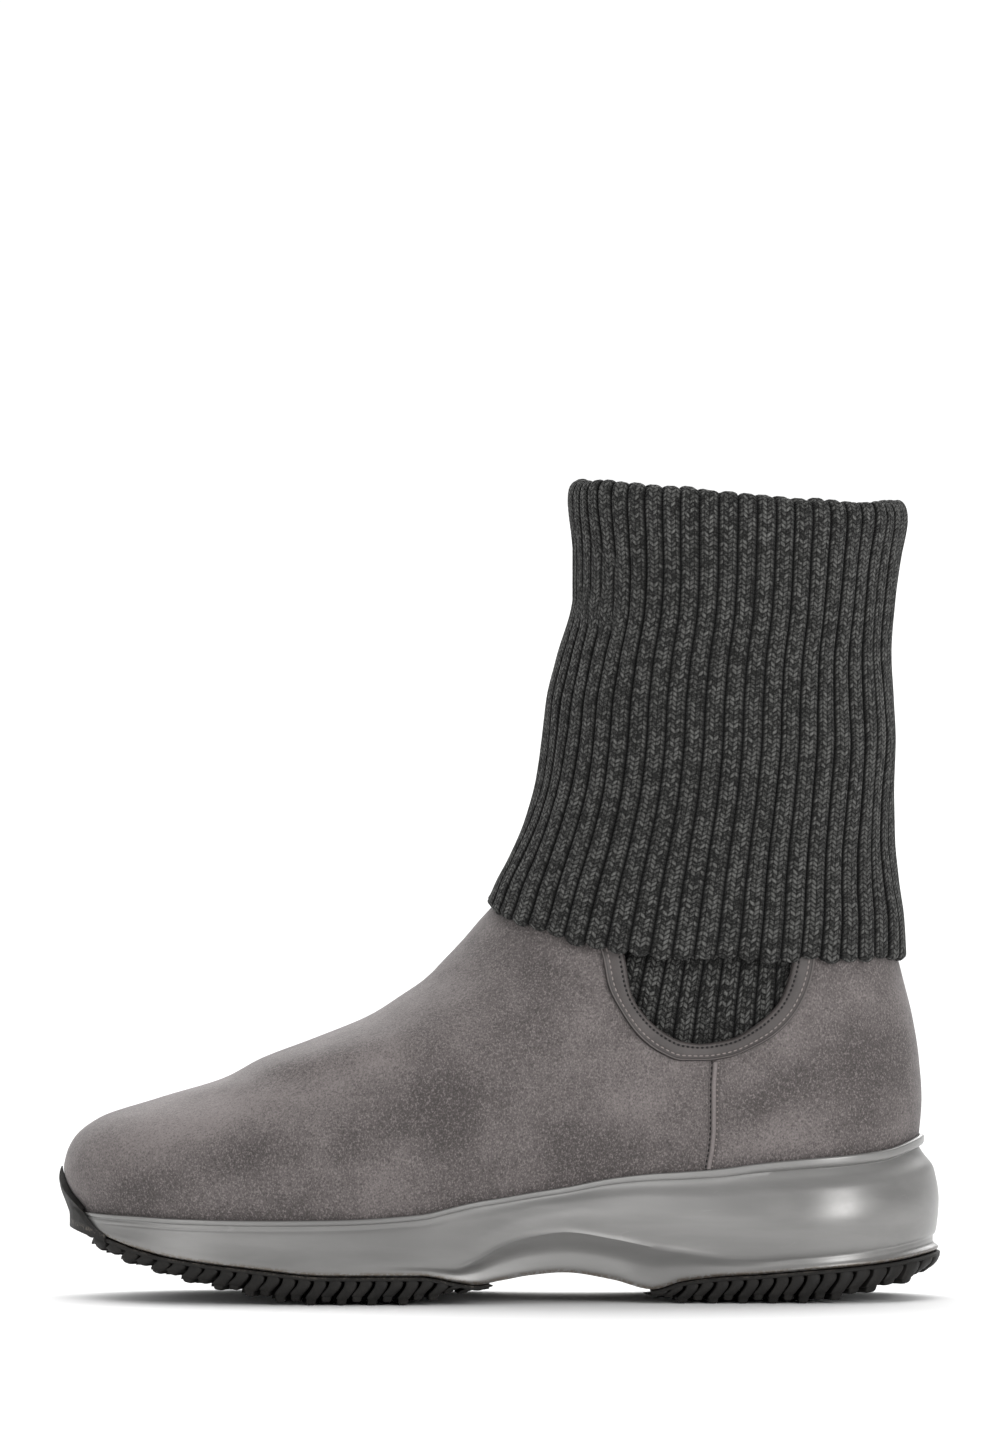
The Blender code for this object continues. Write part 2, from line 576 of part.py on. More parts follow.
def cut_lugs(item, first, last, ground, lean):
    x = LENGTH * (first - 0.5) + LUG_PITCH
    stop = LENGTH * (last - 0.5) - LUG_PITCH * 0.5
    slots = []
    while x < stop:
        roof = float(sole_bottom(x)) - GAP
        deep = roof - PLATE
        if deep - float(ground(x)) > LUG_LEAST:
            slots.append(groove(x, deep, lean * (deep + BELOW) / LEAN_RISE, LUG_GROOVE))
        x += LUG_PITCH
    verts, faces = [], []
    for slot in slots:
        for y in (-ASIDE, ASIDE):
            verts += [(px, y, pz) for px, pz in slot]
        b = len(verts) - 8
        faces += [(b, b + 1, b + 2, b + 3), (b + 7, b + 6, b + 5, b + 4)]
        faces += [(b + k, b + 4 + k, b + 4 + (k + 1) % 4, b + (k + 1) % 4) for k in range(4)]
    combine(item, add("slots", verts, faces, smooth=False), "DIFFERENCE")


def make_forefoot():
    a = angle_at(FORE_END)
    item = block("outsole_forefoot", np.linspace(-a, a, 40) % (2 * pi), line_at(GROUND_FRONT, "height"))
    angles = np.linspace(-BUMPER_REACH, BUMPER_REACH, 15) % (2 * pi)
    share = np.abs(np.linspace(-1, 1, 15))
    base = ring(sole_top, angles)
    n = flat_normals(base, closed=False)
    u = place(base[:, 0])
    beside = np.max([sole_offsets(u, c) for c in ("lip", "bulge", "crease", "scoop", "edge")], 0)
    foot = sole_bottom(base[:, 0]) - 3 * GAP
    rim = sole_top(base[:, 0]) + BUMPER_RIM
    tip = HEIGHT * column(BUMPER, "height")[0]
    edge = tip - (tip - rim - BUMPER_RIM) * share ** 2.4
    levels = [edge, edge * 0.75 + rim * 0.25, edge * 0.45 + rim * 0.55, rim, (rim + foot) / 2, foot]
    profile, inner = [], []
    for k, level in enumerate(levels):
        at = np.array([ring(lambda x, h=h: np.full_like(np.asarray(x, float), h), [a])[0]
                       for h, a in zip(np.maximum(level, 0.104 * HEIGHT), angles)])
        at[:, 2] = level
        away = BULGE * follow_down(BUMPER, "off", level / HEIGHT) * (1.0 - 0.5 * share ** 2)
        clear = GAP + (beside if k > 2 else beside * share ** 3)
        profile.append(at + n * np.maximum(away, clear + BUMPER_SKIN * (k < 5))[:, None])
        inner.append(at + n * clear[:, None])
    profile[-1] = base + n * (clear + BUMPER_SKIN / 2)[:, None]
    profile[-1][:, 2] = foot - BUMPER_FOOT
    sunk = base - n * BUMPER_FOOT
    sunk[:, 2] = foot - BUMPER_FOOT
    inner[-1] = base + n * clear[:, None]
    inner[-1][:, 2] = foot + GAP
    inner = [sunk] + inner[::-1]
    ends = profile + inner
    bumper = loft("bumper", ends, wrap_rings=True, closed=False)
    bm = bmesh.new()
    bm.from_mesh(bumper.data)
    bmesh.ops.holes_fill(bm, edges=[e for e in bm.edges if e.is_boundary], sides=0)
    bmesh.ops.recalc_face_normals(bm, faces=bm.faces)
    bm.to_mesh(bumper.data)
    bm.free()
    combine(item, bumper, "UNION")
    cut_lugs(item, FORE_START, FORE_END, line_at(GROUND_FRONT, "height"), FORE_LEAN)
    return item


def make_heel():
    a = angle_at(HEEL_START)
    back = np.linspace(a, 2 * pi - a, 40)
    item = block("outsole_heel", back, line_at(GROUND_HEEL, "height"))
    cut_lugs(item, HEEL_START, HEEL_END, line_at(GROUND_HEEL, "height"), HEEL_LEAN)
    return item


LOOKS = {
    "upper": ("suede", (0.20, 0.18, 0.17, 1), 0.9, 0.0),
    "knit_shaft": ("knit", (0.04, 0.04, 0.04, 1), 0.95, 0.0),
    "midsole": ("moulded_sole", (0.24, 0.235, 0.225, 1), 0.4, 0.3),
    "outsole_forefoot": ("forefoot_rubber", (0.022, 0.021, 0.02, 1), 0.7, 0.0),
    "outsole_heel": ("heel_rubber", (0.022, 0.021, 0.02, 1), 0.7, 0.0),
    "insole": ("footbed", (0.10, 0.10, 0.10, 1), 0.9, 0.0),
    "gore_binding_lateral": ("lateral_binding", (0.17, 0.15, 0.14, 1), 0.6, 0.0),
    "gore_binding_medial": ("medial_binding", (0.17, 0.15, 0.14, 1), 0.6, 0.0),
    "side_seam_lateral": ("lateral_seam", (0.20, 0.18, 0.17, 1), 0.8, 0.0),
    "side_seam_medial": ("medial_seam", (0.20, 0.18, 0.17, 1), 0.8, 0.0)}


def paint(item):
    name, colour, rough, metal = LOOKS[item.name]
    mat = bpy.data.materials.new(name)
    mat.use_nodes = True
    node = mat.node_tree.nodes["Principled BSDF"]
    node.inputs["Base Color"].default_value = colour
    node.inputs["Roughness"].default_value = rough
    node.inputs["Metallic"].default_value = metal
    mat.diffuse_color = colour
    item.data.materials.clear()
    item.data.materials.append(mat)


MAIN = start()
PIECES = [make_upper(), make_knit(), make_midsole(), make_insole(), make_forefoot(), make_heel()]
PIECES += make_trims()
BOX = np.array([v.co[:] for piece in PIECES for v in piece.data.vertices])
SHIFT = np.array([(BOX[:, 0].min() + BOX[:, 0].max()) / 2, (BOX[:, 1].min() + BOX[:, 1].max()) / 2, BOX[:, 2].min()])
for piece in PIECES:
    for vertex in piece.data.vertices:
        vertex.co = [a - b for a, b in zip(vertex.co, SHIFT)]
    paint(piece)
    tris = sum(len(p.vertices) - 2 for p in piece.data.polygons)
    print(piece.name, "triangles", tris)
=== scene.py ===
# Tall boot: suede foot, ribbed knit shaft folded down as a cuff, moulded midsole and two lugged outsoles.
# Left boot on its sole: toe at -X, heel at +X, lateral side at -Y, up is +Z, lengths in metres.
from math import cos, pi, radians, sin

import bmesh
import bpy
import numpy as np
from bpy.props import FloatProperty, FloatVectorProperty, PointerProperty
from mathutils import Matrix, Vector


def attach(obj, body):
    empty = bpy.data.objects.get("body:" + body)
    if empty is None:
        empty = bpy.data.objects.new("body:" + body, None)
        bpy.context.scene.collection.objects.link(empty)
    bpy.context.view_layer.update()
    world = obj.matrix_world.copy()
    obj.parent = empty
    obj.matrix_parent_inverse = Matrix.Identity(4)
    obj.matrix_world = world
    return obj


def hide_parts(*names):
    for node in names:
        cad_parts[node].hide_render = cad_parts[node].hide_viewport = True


bl_info = {
    "name": "Tall Boot Dresser",
    "version": (1, 0, 0),
    "blender": (4, 5, 0),
    "location": "3D View > Sidebar > Boot",
    "description": "Builds the visible pieces of a suede and knit tall boot over its packed solids",
    "category": "Add Mesh",
}

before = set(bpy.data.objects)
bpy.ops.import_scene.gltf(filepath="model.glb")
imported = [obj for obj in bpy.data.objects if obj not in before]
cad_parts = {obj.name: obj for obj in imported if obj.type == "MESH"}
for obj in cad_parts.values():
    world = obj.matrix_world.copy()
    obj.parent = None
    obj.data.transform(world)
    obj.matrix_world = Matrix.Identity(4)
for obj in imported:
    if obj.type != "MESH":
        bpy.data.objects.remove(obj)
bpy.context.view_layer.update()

# Driving sizes of the boot, the same as those of its solids
LENGTH = 0.275          # toe bumper to heel, outside
HEIGHT = 0.254          # ground to the top of the cuff
BALL = 0.096            # width of the upper at the ball
SHAFT = 0.0745          # width of the upper at the ankle
CUFF = 0.0868           # width of the folded cuff
BULGE = 0.0062          # how far the heel of the midsole stands out
WALL = 0.0020           # suede and lining
KNIT = 0.0022           # one layer of knit
EASE = 0.0009           # slack between the knit tube and the lining
RIBS = 52               # ribs round the cuff
GAP = 0.0003            # air between neighbouring pieces
PLATE = 0.0022          # rubber above the lugs
CENTRE = np.array([0.000794, -0.000019, 0.0])   # the solids are moved by this, to stand about their middle
MM = 0.001

# Smaller sizes of the shape: shares where that is said, otherwise in metres
SHAFT_MIDDLE = 0.002    # how far the shaft's middle lies to the medial side
TOE_ROOF = 0.158        # height where the roof of the toe begins, as a share of HEIGHT
PINCH = 0.045           # how much the upper draws in at the sole, as a share of its width
WAIST = 0.07            # how much it draws in above the heel
BINDING = 0.0055        # width of the binding
FOLD_HIGH = 0.006       # height of the rounding at the fold of the cuff
TUCK = 0.0010           # how far the tube stays clear of the cuff at the front
ARCH_EDGE = 0.00055     # ridge along the top of the arch
FORE_LINE = 0.00022     # depth of the fine line below the lip at the forefoot
HEEL_GROOVE = 0.00045   # depth of the groove below the lip at the heel
HEEL_CREASE = 0.00050   # depth of the crease above the heel tread

# Tables: places are per cent of LENGTH from the toe, heights per cent of HEIGHT.
FRONT = {"columns": ("height", "place"), "rows": (
    (7.2, 3.6), (9.4, 2.4), (11.5, 1.8), (13.6, 1.0), (15.8, 0.5), (17.5, 0.8), (19.5, 1.7),
    (21.9, 4.5), (24.3, 11.1), (26.8, 18.6), (29.2, 22.8), (31.7, 28.8), (34.1, 34.2), (36.6, 38.1),
    (39.0, 41.4), (41.5, 43.7), (43.9, 45.8), (46.2, 47.6), (47.6, 48.8), (48.6, 49.7), (50.2, 50.8),
    (52.7, 52.2), (57.4, 54.4), (62.3, 56.2), (68.4, 57.4), (73.3, 57.8), (79.4, 59.0), (86.7, 60.2),
    (92.9, 60.5), (102.0, 60.6))}
BACK = {"columns": ("height", "place"), "rows": (
    (7.2, 95.8), (13.3, 96.4), (17.0, 96.9), (20.1, 97.3), (24.3, 97.6), (29.2, 97.3), (34.1, 96.6),
    (39.0, 95.5), (41.5, 94.9), (43.9, 94.2), (46.4, 93.4), (51.3, 92.8), (57.4, 92.4), (65.9, 92.6),
    (73.3, 92.4), (80.6, 92.2), (86.7, 92.4), (92.9, 92.8), (102.0, 93.1))}
# Half widths of the foot in per cent of BALL, lateral and medial side
PLAN = {"columns": ("place", "lateral", "medial"), "rows": (
    (0, -36, 48), (10, -41, 49.5), (20, -46.5, 50), (30, -49.5, 48.5), (38, -50, 45), (50, -46.5, 40.5),
    (60, -42.5, 38), (70, -39, 38), (80, -36.5, 38.5), (90, -35, 38.5), (100, -34, 38))}
CUFF_FRONT = {"columns": ("height", "place"), "rows": (
    (41.0, 44.6), (48.3, 48.2), (51.3, 49.4), (53.7, 50.6), (58.6, 52.7), (63.5, 54.1), (68.4, 54.8),
    (73.3, 55.3), (78.2, 56.4), (85.5, 58.1), (89.2, 58.2), (92.9, 57.9), (97.7, 57.4), (102.0, 57.4))}
CUFF_BACK = {"columns": ("height", "place"), "rows": (
    (41.0, 95.8), (46.4, 95.5), (51.3, 94.8), (56.2, 94.4), (61.0, 94.5), (68.4, 94.9), (73.3, 94.6),
    (79.4, 94.2), (85.5, 94.6), (90.4, 95.1), (95.3, 95.8), (102.0, 95.9))}
HEM = {"columns": ("place", "height"), "rows": (
    (48.2, 48.3), (50.5, 46.7), (53.2, 45.5), (56.0, 44.5), (58.9, 43.9), (63.6, 42.8), (66.8, 42.3),
    (72.5, 41.9), (81.7, 41.6), (89.6, 41.4), (95.8, 41.8))}
FOLD = {"columns": ("place", "height"), "rows": (
    (57.4, 100.0), (61.4, 100.0), (65.9, 99.4), (70.4, 99.1), (74.9, 98.6), (81.7, 98.1), (90.7, 97.5),
    (95.9, 97.4))}
# Lower edge of the knit inside the upper: it dips below the U cut-outs
KNIT_LOW = {"columns": ("place", "height"), "rows": (
    (47.5, 46.4), (55.0, 42.0), (60.0, 35.0), (65.0, 28.8), (70.0, 26.6), (75.0, 26.8), (80.0, 28.8),
    (86.0, 35.0), (90.0, 38.5), (96.0, 40.5))}
COLLAR = {"columns": ("place", "height"), "rows": (
    (0, 52.0), (50.0, 52.0), (70.0, 49.0), (93.0, 46.0), (100, 45.5))}
SOLE_LINES = {"columns": ("place", "top", "floor", "crease", "bottom"), "rows": (
    (1.5, 10.7, 10.2, 9.8, 9.5), (5.2, 10.6, 9.4, 8.9, 8.2), (9.3, 10.5, 8.2, 8.0, 6.6),
    (13.7, 10.3, 7.5, 6.9, 5.5), (21.7, 10.2, 7.3, 5.8, 4.4), (30.8, 10.3, 7.2, 4.9, 3.5),
    (41.0, 11.0, 7.7, 4.7, 3.5), (44.7, 11.9, 8.1, 4.5, 2.8), (47.2, 12.5, 8.5, 5.5, 2.4),
    (50.1, 13.0, 9.0, 7.2, 2.9), (53.4, 13.6, 9.5, 8.3, 3.5), (57.1, 14.2, 10.2, 8.8, 3.8),
    (62.6, 15.3, 11.4, 7.9, 2.9), (67.0, 15.8, 12.0, 6.9, 1.7), (70.3, 16.0, 12.3, 6.3, 2.7),
    (74.9, 16.4, 12.6, 5.6, 3.3), (78.3, 16.9, 13.0, 5.4, 3.5), (84.0, 17.5, 13.4, 5.8, 4.0),
    (89.5, 18.0, 13.9, 6.4, 4.5), (93.2, 18.5, 14.2, 7.0, 5.0), (97.3, 20.0, 14.8, 8.0, 5.9))}
# How far the sides stand out from the upper, in per cent of BULGE; bead is the height of the lip
SIDES = {
    "columns": ("place", "bead", "lip", "groove", "shoulder", "bulge", "crease", "scoop", "edge"), "rows": (
    (1.5, 16, 15, 14, 15, 15, 15, 15, 14), (6.0, 22, 26, 20, 24, 26, 30, 34, 34),
    (14.0, 28, 30, 22, 26, 28, 34, 40, 42), (30.0, 30, 30, 20, 26, 28, 38, 42, 44),
    (42.0, 30, 28, 20, 28, 36, 46, 34, 34), (48.0, 30, 26, 20, 34, 48, 52, 4, 8),
    (56.0, 30, 24, 18, 38, 54, 48, -14, -16), (64.0, 34, 24, 18, 42, 60, 52, -8, -4),
    (70.0, 40, 24, 18, 46, 70, 66, 30, 26), (80.0, 50, 26, 18, 54, 84, 72, 58, 66),
    (90.0, 56, 28, 10, 64, 96, 78, 72, 84), (97.3, 60, 26, 6, 74, 100, 84, 70, 98))}
# Underside of the treads
GROUND_FRONT = {"columns": ("place", "height"), "rows": (
    (0, 11.0), (1.6, 9.4), (2.8, 8.1), (5.2, 6.2), (8.2, 4.8), (11.9, 3.6), (14.4, 2.8), (17.4, 2.0),
    (20.8, 1.3), (25.2, 0.4), (28.5, 0), (39.0, 0), (42.0, 0.5), (44.4, 1.1), (48.6, 1.9))}
GROUND_HEEL = {"columns": ("place", "height"), "rows": (
    (66.4, 1.3), (69.0, 0.3), (71.5, 0), (84.0, 0), (86.2, 0.2), (89.2, 0.8), (90.6, 1.2), (92.9, 1.8),
    (94.9, 2.4), (97.1, 3.3), (98.9, 4.4), (101.0, 5.6))}
U_INNER = {"columns": ("place", "height"), "rows": (
    (63.1, 44.6), (63.6, 42.8), (64.5, 37.7), (66.3, 34.6), (68.4, 32.7), (70.3, 31.7), (72.4, 31.4),
    (74.7, 31.7), (76.4, 32.2), (78.2, 33.3), (80.0, 34.8), (81.5, 36.7), (82.7, 40.2), (83.4, 44.6))}
U_OUTER = {"columns": ("place", "height"), "rows": (
    (60.7, 44.6), (61.4, 42.2), (62.0, 38.7), (63.5, 35.4), (65.6, 32.3), (67.8, 30.5), (70.3, 29.5),
    (72.9, 29.5), (75.6, 29.9), (78.2, 31.0), (80.9, 32.7), (83.3, 35.6), (84.5, 38.3), (85.1, 41.0),
    (85.4, 44.6))}
SIDE_SEAM = {"columns": ("height", "place"), "rows": (
    (16.0, 73.3), (16.9, 73.4), (18.8, 73.7), (21.8, 73.9), (25.7, 73.9), (29.6, 74.1))}
# Toe bumper at its centre: how far it stands off the upper, in per cent of BULGE
BUMPER = {"columns": ("height", "off"), "rows": (
    (8.4, 8), (9.3, 30), (10.3, 42), (11.6, 46), (13.0, 43), (14.3, 36), (15.2, 24), (16.0, 12))}
# Upper edge of the bumper, from the tip of the toe to where it meets the plate
BUMPER_EDGE = {"columns": ("share", "height"), "rows": (
    (0, 16.0), (28, 13.4), (52, 11.5), (75, 9.6), (100, 8.0))}

# Soft troughs (depth below 0) and ridges of the suede. Long and wide are half sizes in mm, turn is in
# degrees from the heel direction upward, depth is in mm, side is -1 lateral, 1 medial, 0 both.
CREASES = {"columns": ("place", "height", "long", "wide", "turn", "depth", "side"), "rows": (
    (41.2, 24.5, 17, 7, 32, -0.50, -1), (44.5, 27.5, 15, 6, 30, 0.30, -1),
    (32.0, 18.5, 15, 6, 25, -0.40, -1), (20.2, 18.1, 12, 6, 18, -0.35, -1),
    (9.2, 13.2, 10, 5, 8, -0.30, -1), (80.0, 24.6, 14, 6, 28, -0.50, -1),
    (82.5, 28.5, 12, 6, 24, 0.30, -1), (91.0, 36.0, 12, 5, -62, -0.55, 0),
    (55.5, 35.0, 13, 6, -52, -0.40, -1), (50.0, 38.5, 10, 5, -50, 0.30, 0),
    (40.0, 22.5, 18, 7, 30, -0.55, 1), (27.0, 17.5, 14, 6, 20, -0.40, 1),
    (56.0, 30.0, 15, 7, -40, -0.45, 1), (79.0, 23.5, 15, 7, -24, -0.45, 1),
    (14.0, 16.0, 12, 6, 10, -0.30, 1), (36.0, 33.5, 12, 5, 70, -0.30, 0),
    (64.0, 22.0, 16, 7, 12, -0.35, -1))}
# Nap brushed darker (below 0) or lighter, mixed with painted shade in the crease troughs, on the instep, the
# heel and low on the sides and painted light along the top of the toe and vamp; placed like the creases,
# side 0 is both
NAP_AND_PAINTED_SHADING = {"columns": ("place", "height", "long", "wide", "turn", "shade", "side"), "rows": (
    (41.5, 24.5, 15, 9, 20, -1.00, -1), (45.0, 21.0, 13, 9, 60, -0.60, -1),
    (32.5, 18.8, 14, 7, 25, -0.55, -1), (20.5, 18.3, 12, 7, 15, -0.60, -1),
    (9.3, 13.2, 10, 6, 5, -0.75, -1), (26.0, 24.5, 22, 8, 22, 0.32, -1),
    (16.0, 22.0, 16, 7, 20, 0.60, 0), (35.0, 29.5, 20, 6, 36, 0.32, 0),
    (45.0, 38.0, 12, 6, 50, 0.20, 0), (30.0, 13.5, 22, 6, 4, -0.30, -1),
    (52.0, 16.5, 24, 7, 6, -0.40, -1), (60.0, 20.0, 14, 9, 0, -0.35, -1),
    (66.0, 24.0, 12, 9, 30, 0.20, -1), (79.0, 24.5, 13, 6, 30, -0.85, -1),
    (84.5, 28.0, 8, 6, 60, -0.50, -1), (78.0, 19.5, 13, 7, 0, 0.35, -1),
    (93.0, 30.0, 12, 9, 90, -0.35, 0), (88.0, 37.0, 12, 5, 5, 0.15, -1),
    (55.0, 40.5, 14, 5, -18, -0.40, 0), (53.0, 35.0, 16, 11, -45, -0.45, -1),
    (90.0, 30.0, 16, 12, 80, -0.40, -1), (66.0, 18.5, 18, 8, 0, -0.45, -1),
    (91.0, 22.0, 10, 8, 80, -0.45, -1), (12.0, 21.0, 14, 7, 30, 0.40, 0),
    (21.0, 24.0, 12, 5, 20, 0.35, 0), (38.0, 21.0, 17, 8, 24, -0.80, 1),
    (20.0, 17.0, 15, 8, 12, -0.55, 1), (58.0, 24.0, 18, 9, 0, -0.50, 1),
    (48.0, 30.0, 15, 8, 40, 0.40, 1), (82.0, 26.0, 15, 8, 30, -0.60, 1),
    (70.0, 20.0, 14, 7, 10, 0.35, 1))}
# Cross-section of the binding: across is per cent from its inner to its outer edge, lift is mm off the suede
BAND = {"columns": ("across", "lift"), "rows": (
    (6, -2.10), (-3, -1.90), (-8, -0.90), (-7, 0.10), (-2, 0.75), (4, 1.05), (10, 1.14), (15, 1.02),
    (18, 0.86), (21, 1.02), (27, 1.12), (45, 1.18), (62, 1.12), (67, 1.02), (70, 0.90), (73, 1.00),
    (79, 1.10), (84, 1.14), (88, 1.34), (92, 1.42), (96, 1.32), (99, 0.90), (101, 0.30), (102, -0.20))}
# Cross-section of the side seam: across and lift in mm
CORD = {"columns": ("across", "lift"), "rows": (
    (-1.9, -0.10), (-1.6, 0.20), (-1.3, 0.30), (-1.05, 0.10), (-0.8, 0.22), (-0.62, 0.62),
    (-0.35, 0.92), (0.0, 1.02), (0.35, 0.92), (0.62, 0.62), (0.8, 0.22), (1.0, 0.12), (1.25, 0.26),
    (1.6, 0.16), (1.9, -0.10))}
# Rows of stitches on the binding, dark then light: across and lift as above, the rest in mm
BAND_STITCHES = {"columns": ("across", "lift", "pitch", "long", "thick"), "rows": (
    (18, 0.92, 1.50, 1.10, 0.92), (70, 0.96, 1.80, 1.40, 0.50))}
# Rows of stitches beside the side seam, dark then light, in mm
SEAM_STITCHES = {"columns": ("across", "lift", "pitch", "long", "thick"), "rows": (
    (-1.05, 0.22, 1.70, 1.10, 0.60), (1.02, 0.22, 1.70, 0.70, 0.60))}
# Soft waves of the cuff: depth in mm, waves round it, how they climb and where they start, in radians
WAVES = {"columns": ("depth", "round", "climb", "start"), "rows": (
    (0.35, 3, 11, 0), (0.28, 7, -17, 1.3), (0.18, 13, 31, 0.4))}
# One lug from the plate down: width, stand-out and lean in per cent of its full values
LUG = {"columns": ("down", "width", "out", "lean"), "rows": (
    (0, 90, 10, 14), (8, 94, 45, 6), (20, 98, 70, 2), (34, 101, 78, 14), (50, 101, 70, 44),
    (64, 98, 50, 74), (74, 94, 26, 92), (78, 76, -10, 94), (90, 72, -24, 99), (96, 64, -40, 100),
    (100, 48, -66, 100))}
LUG_PITCH = 0.0047      # spacing of the lugs along the sole
LUG_WIDTH = 0.0040
LUG_STEP = 0.0010       # how much shorter every second lug is
LUG_OUT = 0.0009        # how far a lug stands out of the plate
LUG_LEAN = 0.0030       # how far its foot leans toward the toe
RIM = 0.0013            # height of the plate's edge above the lugs
LUG_DEEP = 0.0110       # how far it runs in under the sole
FORE_END = 0.4865       # where the forefoot tread ends
HEEL_START = 0.668      # where the heel tread starts

MIDSOLE_COLUMNS = 420
UPPER_COLUMNS = 360
UPPER_ROWS = 100
RIB_STEPS = (0.0, 0.055, 0.15, 0.31, 0.5, 0.69, 0.85, 0.945)   # where the columns of a rib stand

# Colours that stay as they are
MOULD_DUST = (0.115, 0.092, 0.070, 1.0)
RUBBER_DUST = (0.16, 0.14, 0.12, 1.0)
DARK_THREAD = (0.012, 0.011, 0.011)
LIGHT_THREAD = (0.24, 0.21, 0.20)


def column(table, name):
    """One named column of a table, as written."""
    return np.array([row[table["columns"].index(name)] for row in table["rows"]], float)


def smooth_through(x, y, at):
    """Smooth curve through points with rising x that doesn't overshoot them."""
    h = np.diff(x)
    d = np.diff(y) / h
    m = np.zeros(len(x))
    m[0] = d[0]
    m[-1] = d[-1]
    for i in range(1, len(x) - 1):
        if d[i - 1] * d[i] > 0:
            w1 = 2 * h[i] + h[i - 1]
            w2 = h[i] + 2 * h[i - 1]
            m[i] = (w1 + w2) / (w1 / d[i - 1] + w2 / d[i])
    at = np.clip(np.asarray(at, float), x[0], x[-1])
    i = np.clip(np.searchsorted(x, at, "right") - 1, 0, len(x) - 2)
    t = (at - x[i]) / h[i]
    low = (1 + 2 * t) * (1 - t) ** 2 * y[i] + t * (1 - t) ** 2 * h[i] * m[i]
    high = t * t * (3 - 2 * t) * y[i + 1] + t * t * (t - 1) * h[i] * m[i + 1]
    return low + high


def follow(table, name, at):
    """Share that a named column has at a share along the table's first column."""
    first = table["columns"][0]
    return smooth_through(column(table, first) / 100, column(table, name) / 100, at)


def place(x):
    """Share of the length at a lengthwise position."""
    return np.asarray(x) / LENGTH + 0.5


def line_at(table, name):
    """Height of a line as a function of the lengthwise position."""
    return lambda x: HEIGHT * follow(table, name, place(x))


def end_at(table):
    """Lengthwise position of an end line as a function of height."""
    return lambda z: LENGTH * (follow(table, "place", np.asarray(z) / HEIGHT) - 0.5)


def ease(t):
    """Smooth step from 0 to 1."""
    t = np.clip(t, 0.0, 1.0)
    return t * t * (3 - 2 * t)


def cap(t, n):
    """Rounded end: 0 at the tip, 1 where the full width is reached."""
    return (1 - (1 - np.clip(t, 0.0, 1.0)) ** n) ** (1.0 / n)


def blend(low, high, share):
    """Line between two lines."""
    return lambda x: low(x) + (high(x) - low(x)) * share


body_front = end_at(FRONT)
body_back = end_at(BACK)
sole_top = line_at(SOLE_LINES, "top")
sole_floor = line_at(SOLE_LINES, "floor")
sole_crease = line_at(SOLE_LINES, "crease")
sole_bottom = line_at(SOLE_LINES, "bottom")
cuff_front = end_at(CUFF_FRONT)
cuff_back = end_at(CUFF_BACK)
RIDGE_Z = np.linspace(TOE_ROOF * HEIGHT, 1.02 * HEIGHT, 400)
RIDGE_X = np.maximum.accumulate(body_front(RIDGE_Z)) + 1e-7 * np.arange(len(RIDGE_Z))


def body_side(x, z, side):
    """Across position of the skin of the foot and shaft, side -1 lateral and +1 medial."""
    u = place(x)
    lateral = BALL * follow(PLAN, "lateral", u)
    medial = BALL * follow(PLAN, "medial", u)
    up = ease((z / HEIGHT - 0.24) / 0.20)
    rise = np.clip((z / HEIGHT - 0.18) / 0.30, 0, 1)
    waist = 1.0 - WAIST * np.sin(pi * rise) * ease((u - 0.55) / 0.3)
    centre = (1 - up) * (lateral + medial) / 2 + up * SHAFT_MIDDLE
    half = ((1 - up) * (medial - lateral) / 2 + up * SHAFT / 2) * waist
    pinch = 1.0 - PINCH * (1 - ease((z - sole_top(x)) / 0.016)) ** 2
    nose = (1 - up) * 0.225 * LENGTH + up * 0.235 * LENGTH
    tail = (1 - up) * 0.135 * LENGTH + up * 0.165 * LENGTH
    t1 = np.maximum((x - body_front(z)) / nose, 1e-6)
    ridge = np.interp(x, RIDGE_X, RIDGE_Z)
    t2 = np.maximum((ridge - z) / np.maximum(ridge - sole_top(x) - 0.004, 0.02), 1e-6)
    t2 = np.where(z < TOE_ROOF * HEIGHT, 1.0, np.minimum(t2, 1.0) * (1 - up) + up)
    q = np.minimum((np.minimum(t1, 1) ** -3 + np.minimum(t2, 1) ** -3) ** (-1 / 3) * 2 ** (1 / 3), 1.0)
    t3 = (body_back(z) - x) / tail
    n = 2.25 - 0.2 * up
    return centre + side * half * pinch * cap(q, n) * cap(t3, 2.2)


def cuff_side(x, z, side):
    """Across position of the outside of the cuff."""
    f = cuff_front(z)
    b = cuff_back(z)
    half = 0.50 * (b - f)
    swell = 1.0 - 0.03 * ease((z / HEIGHT - 0.47) / 0.2) + 0.04 * ease((z / HEIGHT - 0.72) / 0.25)
    t = np.where(x < f + half, (x - f) / half, (b - x) / half)
    return SHAFT_MIDDLE + side * CUFF / 2 * swell * cap(t, 2.25)


def full(count):
    """Angles once round, starting at the toe and running along the lateral side."""
    return np.arange(count) * 2 * pi / count


def ring(height, angles, front=body_front, back=body_back, across=body_side, even=False):
    """One closed outline on a skin, at the height given along its length."""
    ends = []
    for end in (front, back):
        low, high = -0.6 * LENGTH, 0.6 * LENGTH
        for _ in range(44):
            mid = (low + high) / 2
            if mid < end(height(mid)):
                low = mid
            else:
                high = mid
        ends.append((low + high) / 2)

    def points(a):
        x = ends[0] + (ends[1] - ends[0]) * (1 - np.cos(a)) / 2
        z = height(x)
        side = np.where(np.sin(a) >= 0, -1.0, 1.0)
        return np.stack([x, across(x, z, side), z], 1)

    if not even:
        return points(np.asarray(angles))
    dense = points(np.linspace(0, 2 * pi, 1441))
    run = np.concatenate([[0], np.cumsum(np.hypot(*np.diff(dense[:, :2], axis=0).T))])
    want = np.asarray(angles) / (2 * pi) * run[-1]
    return np.stack([np.interp(want, run, dense[:, i], period=run[-1]) for i in range(3)], 1)


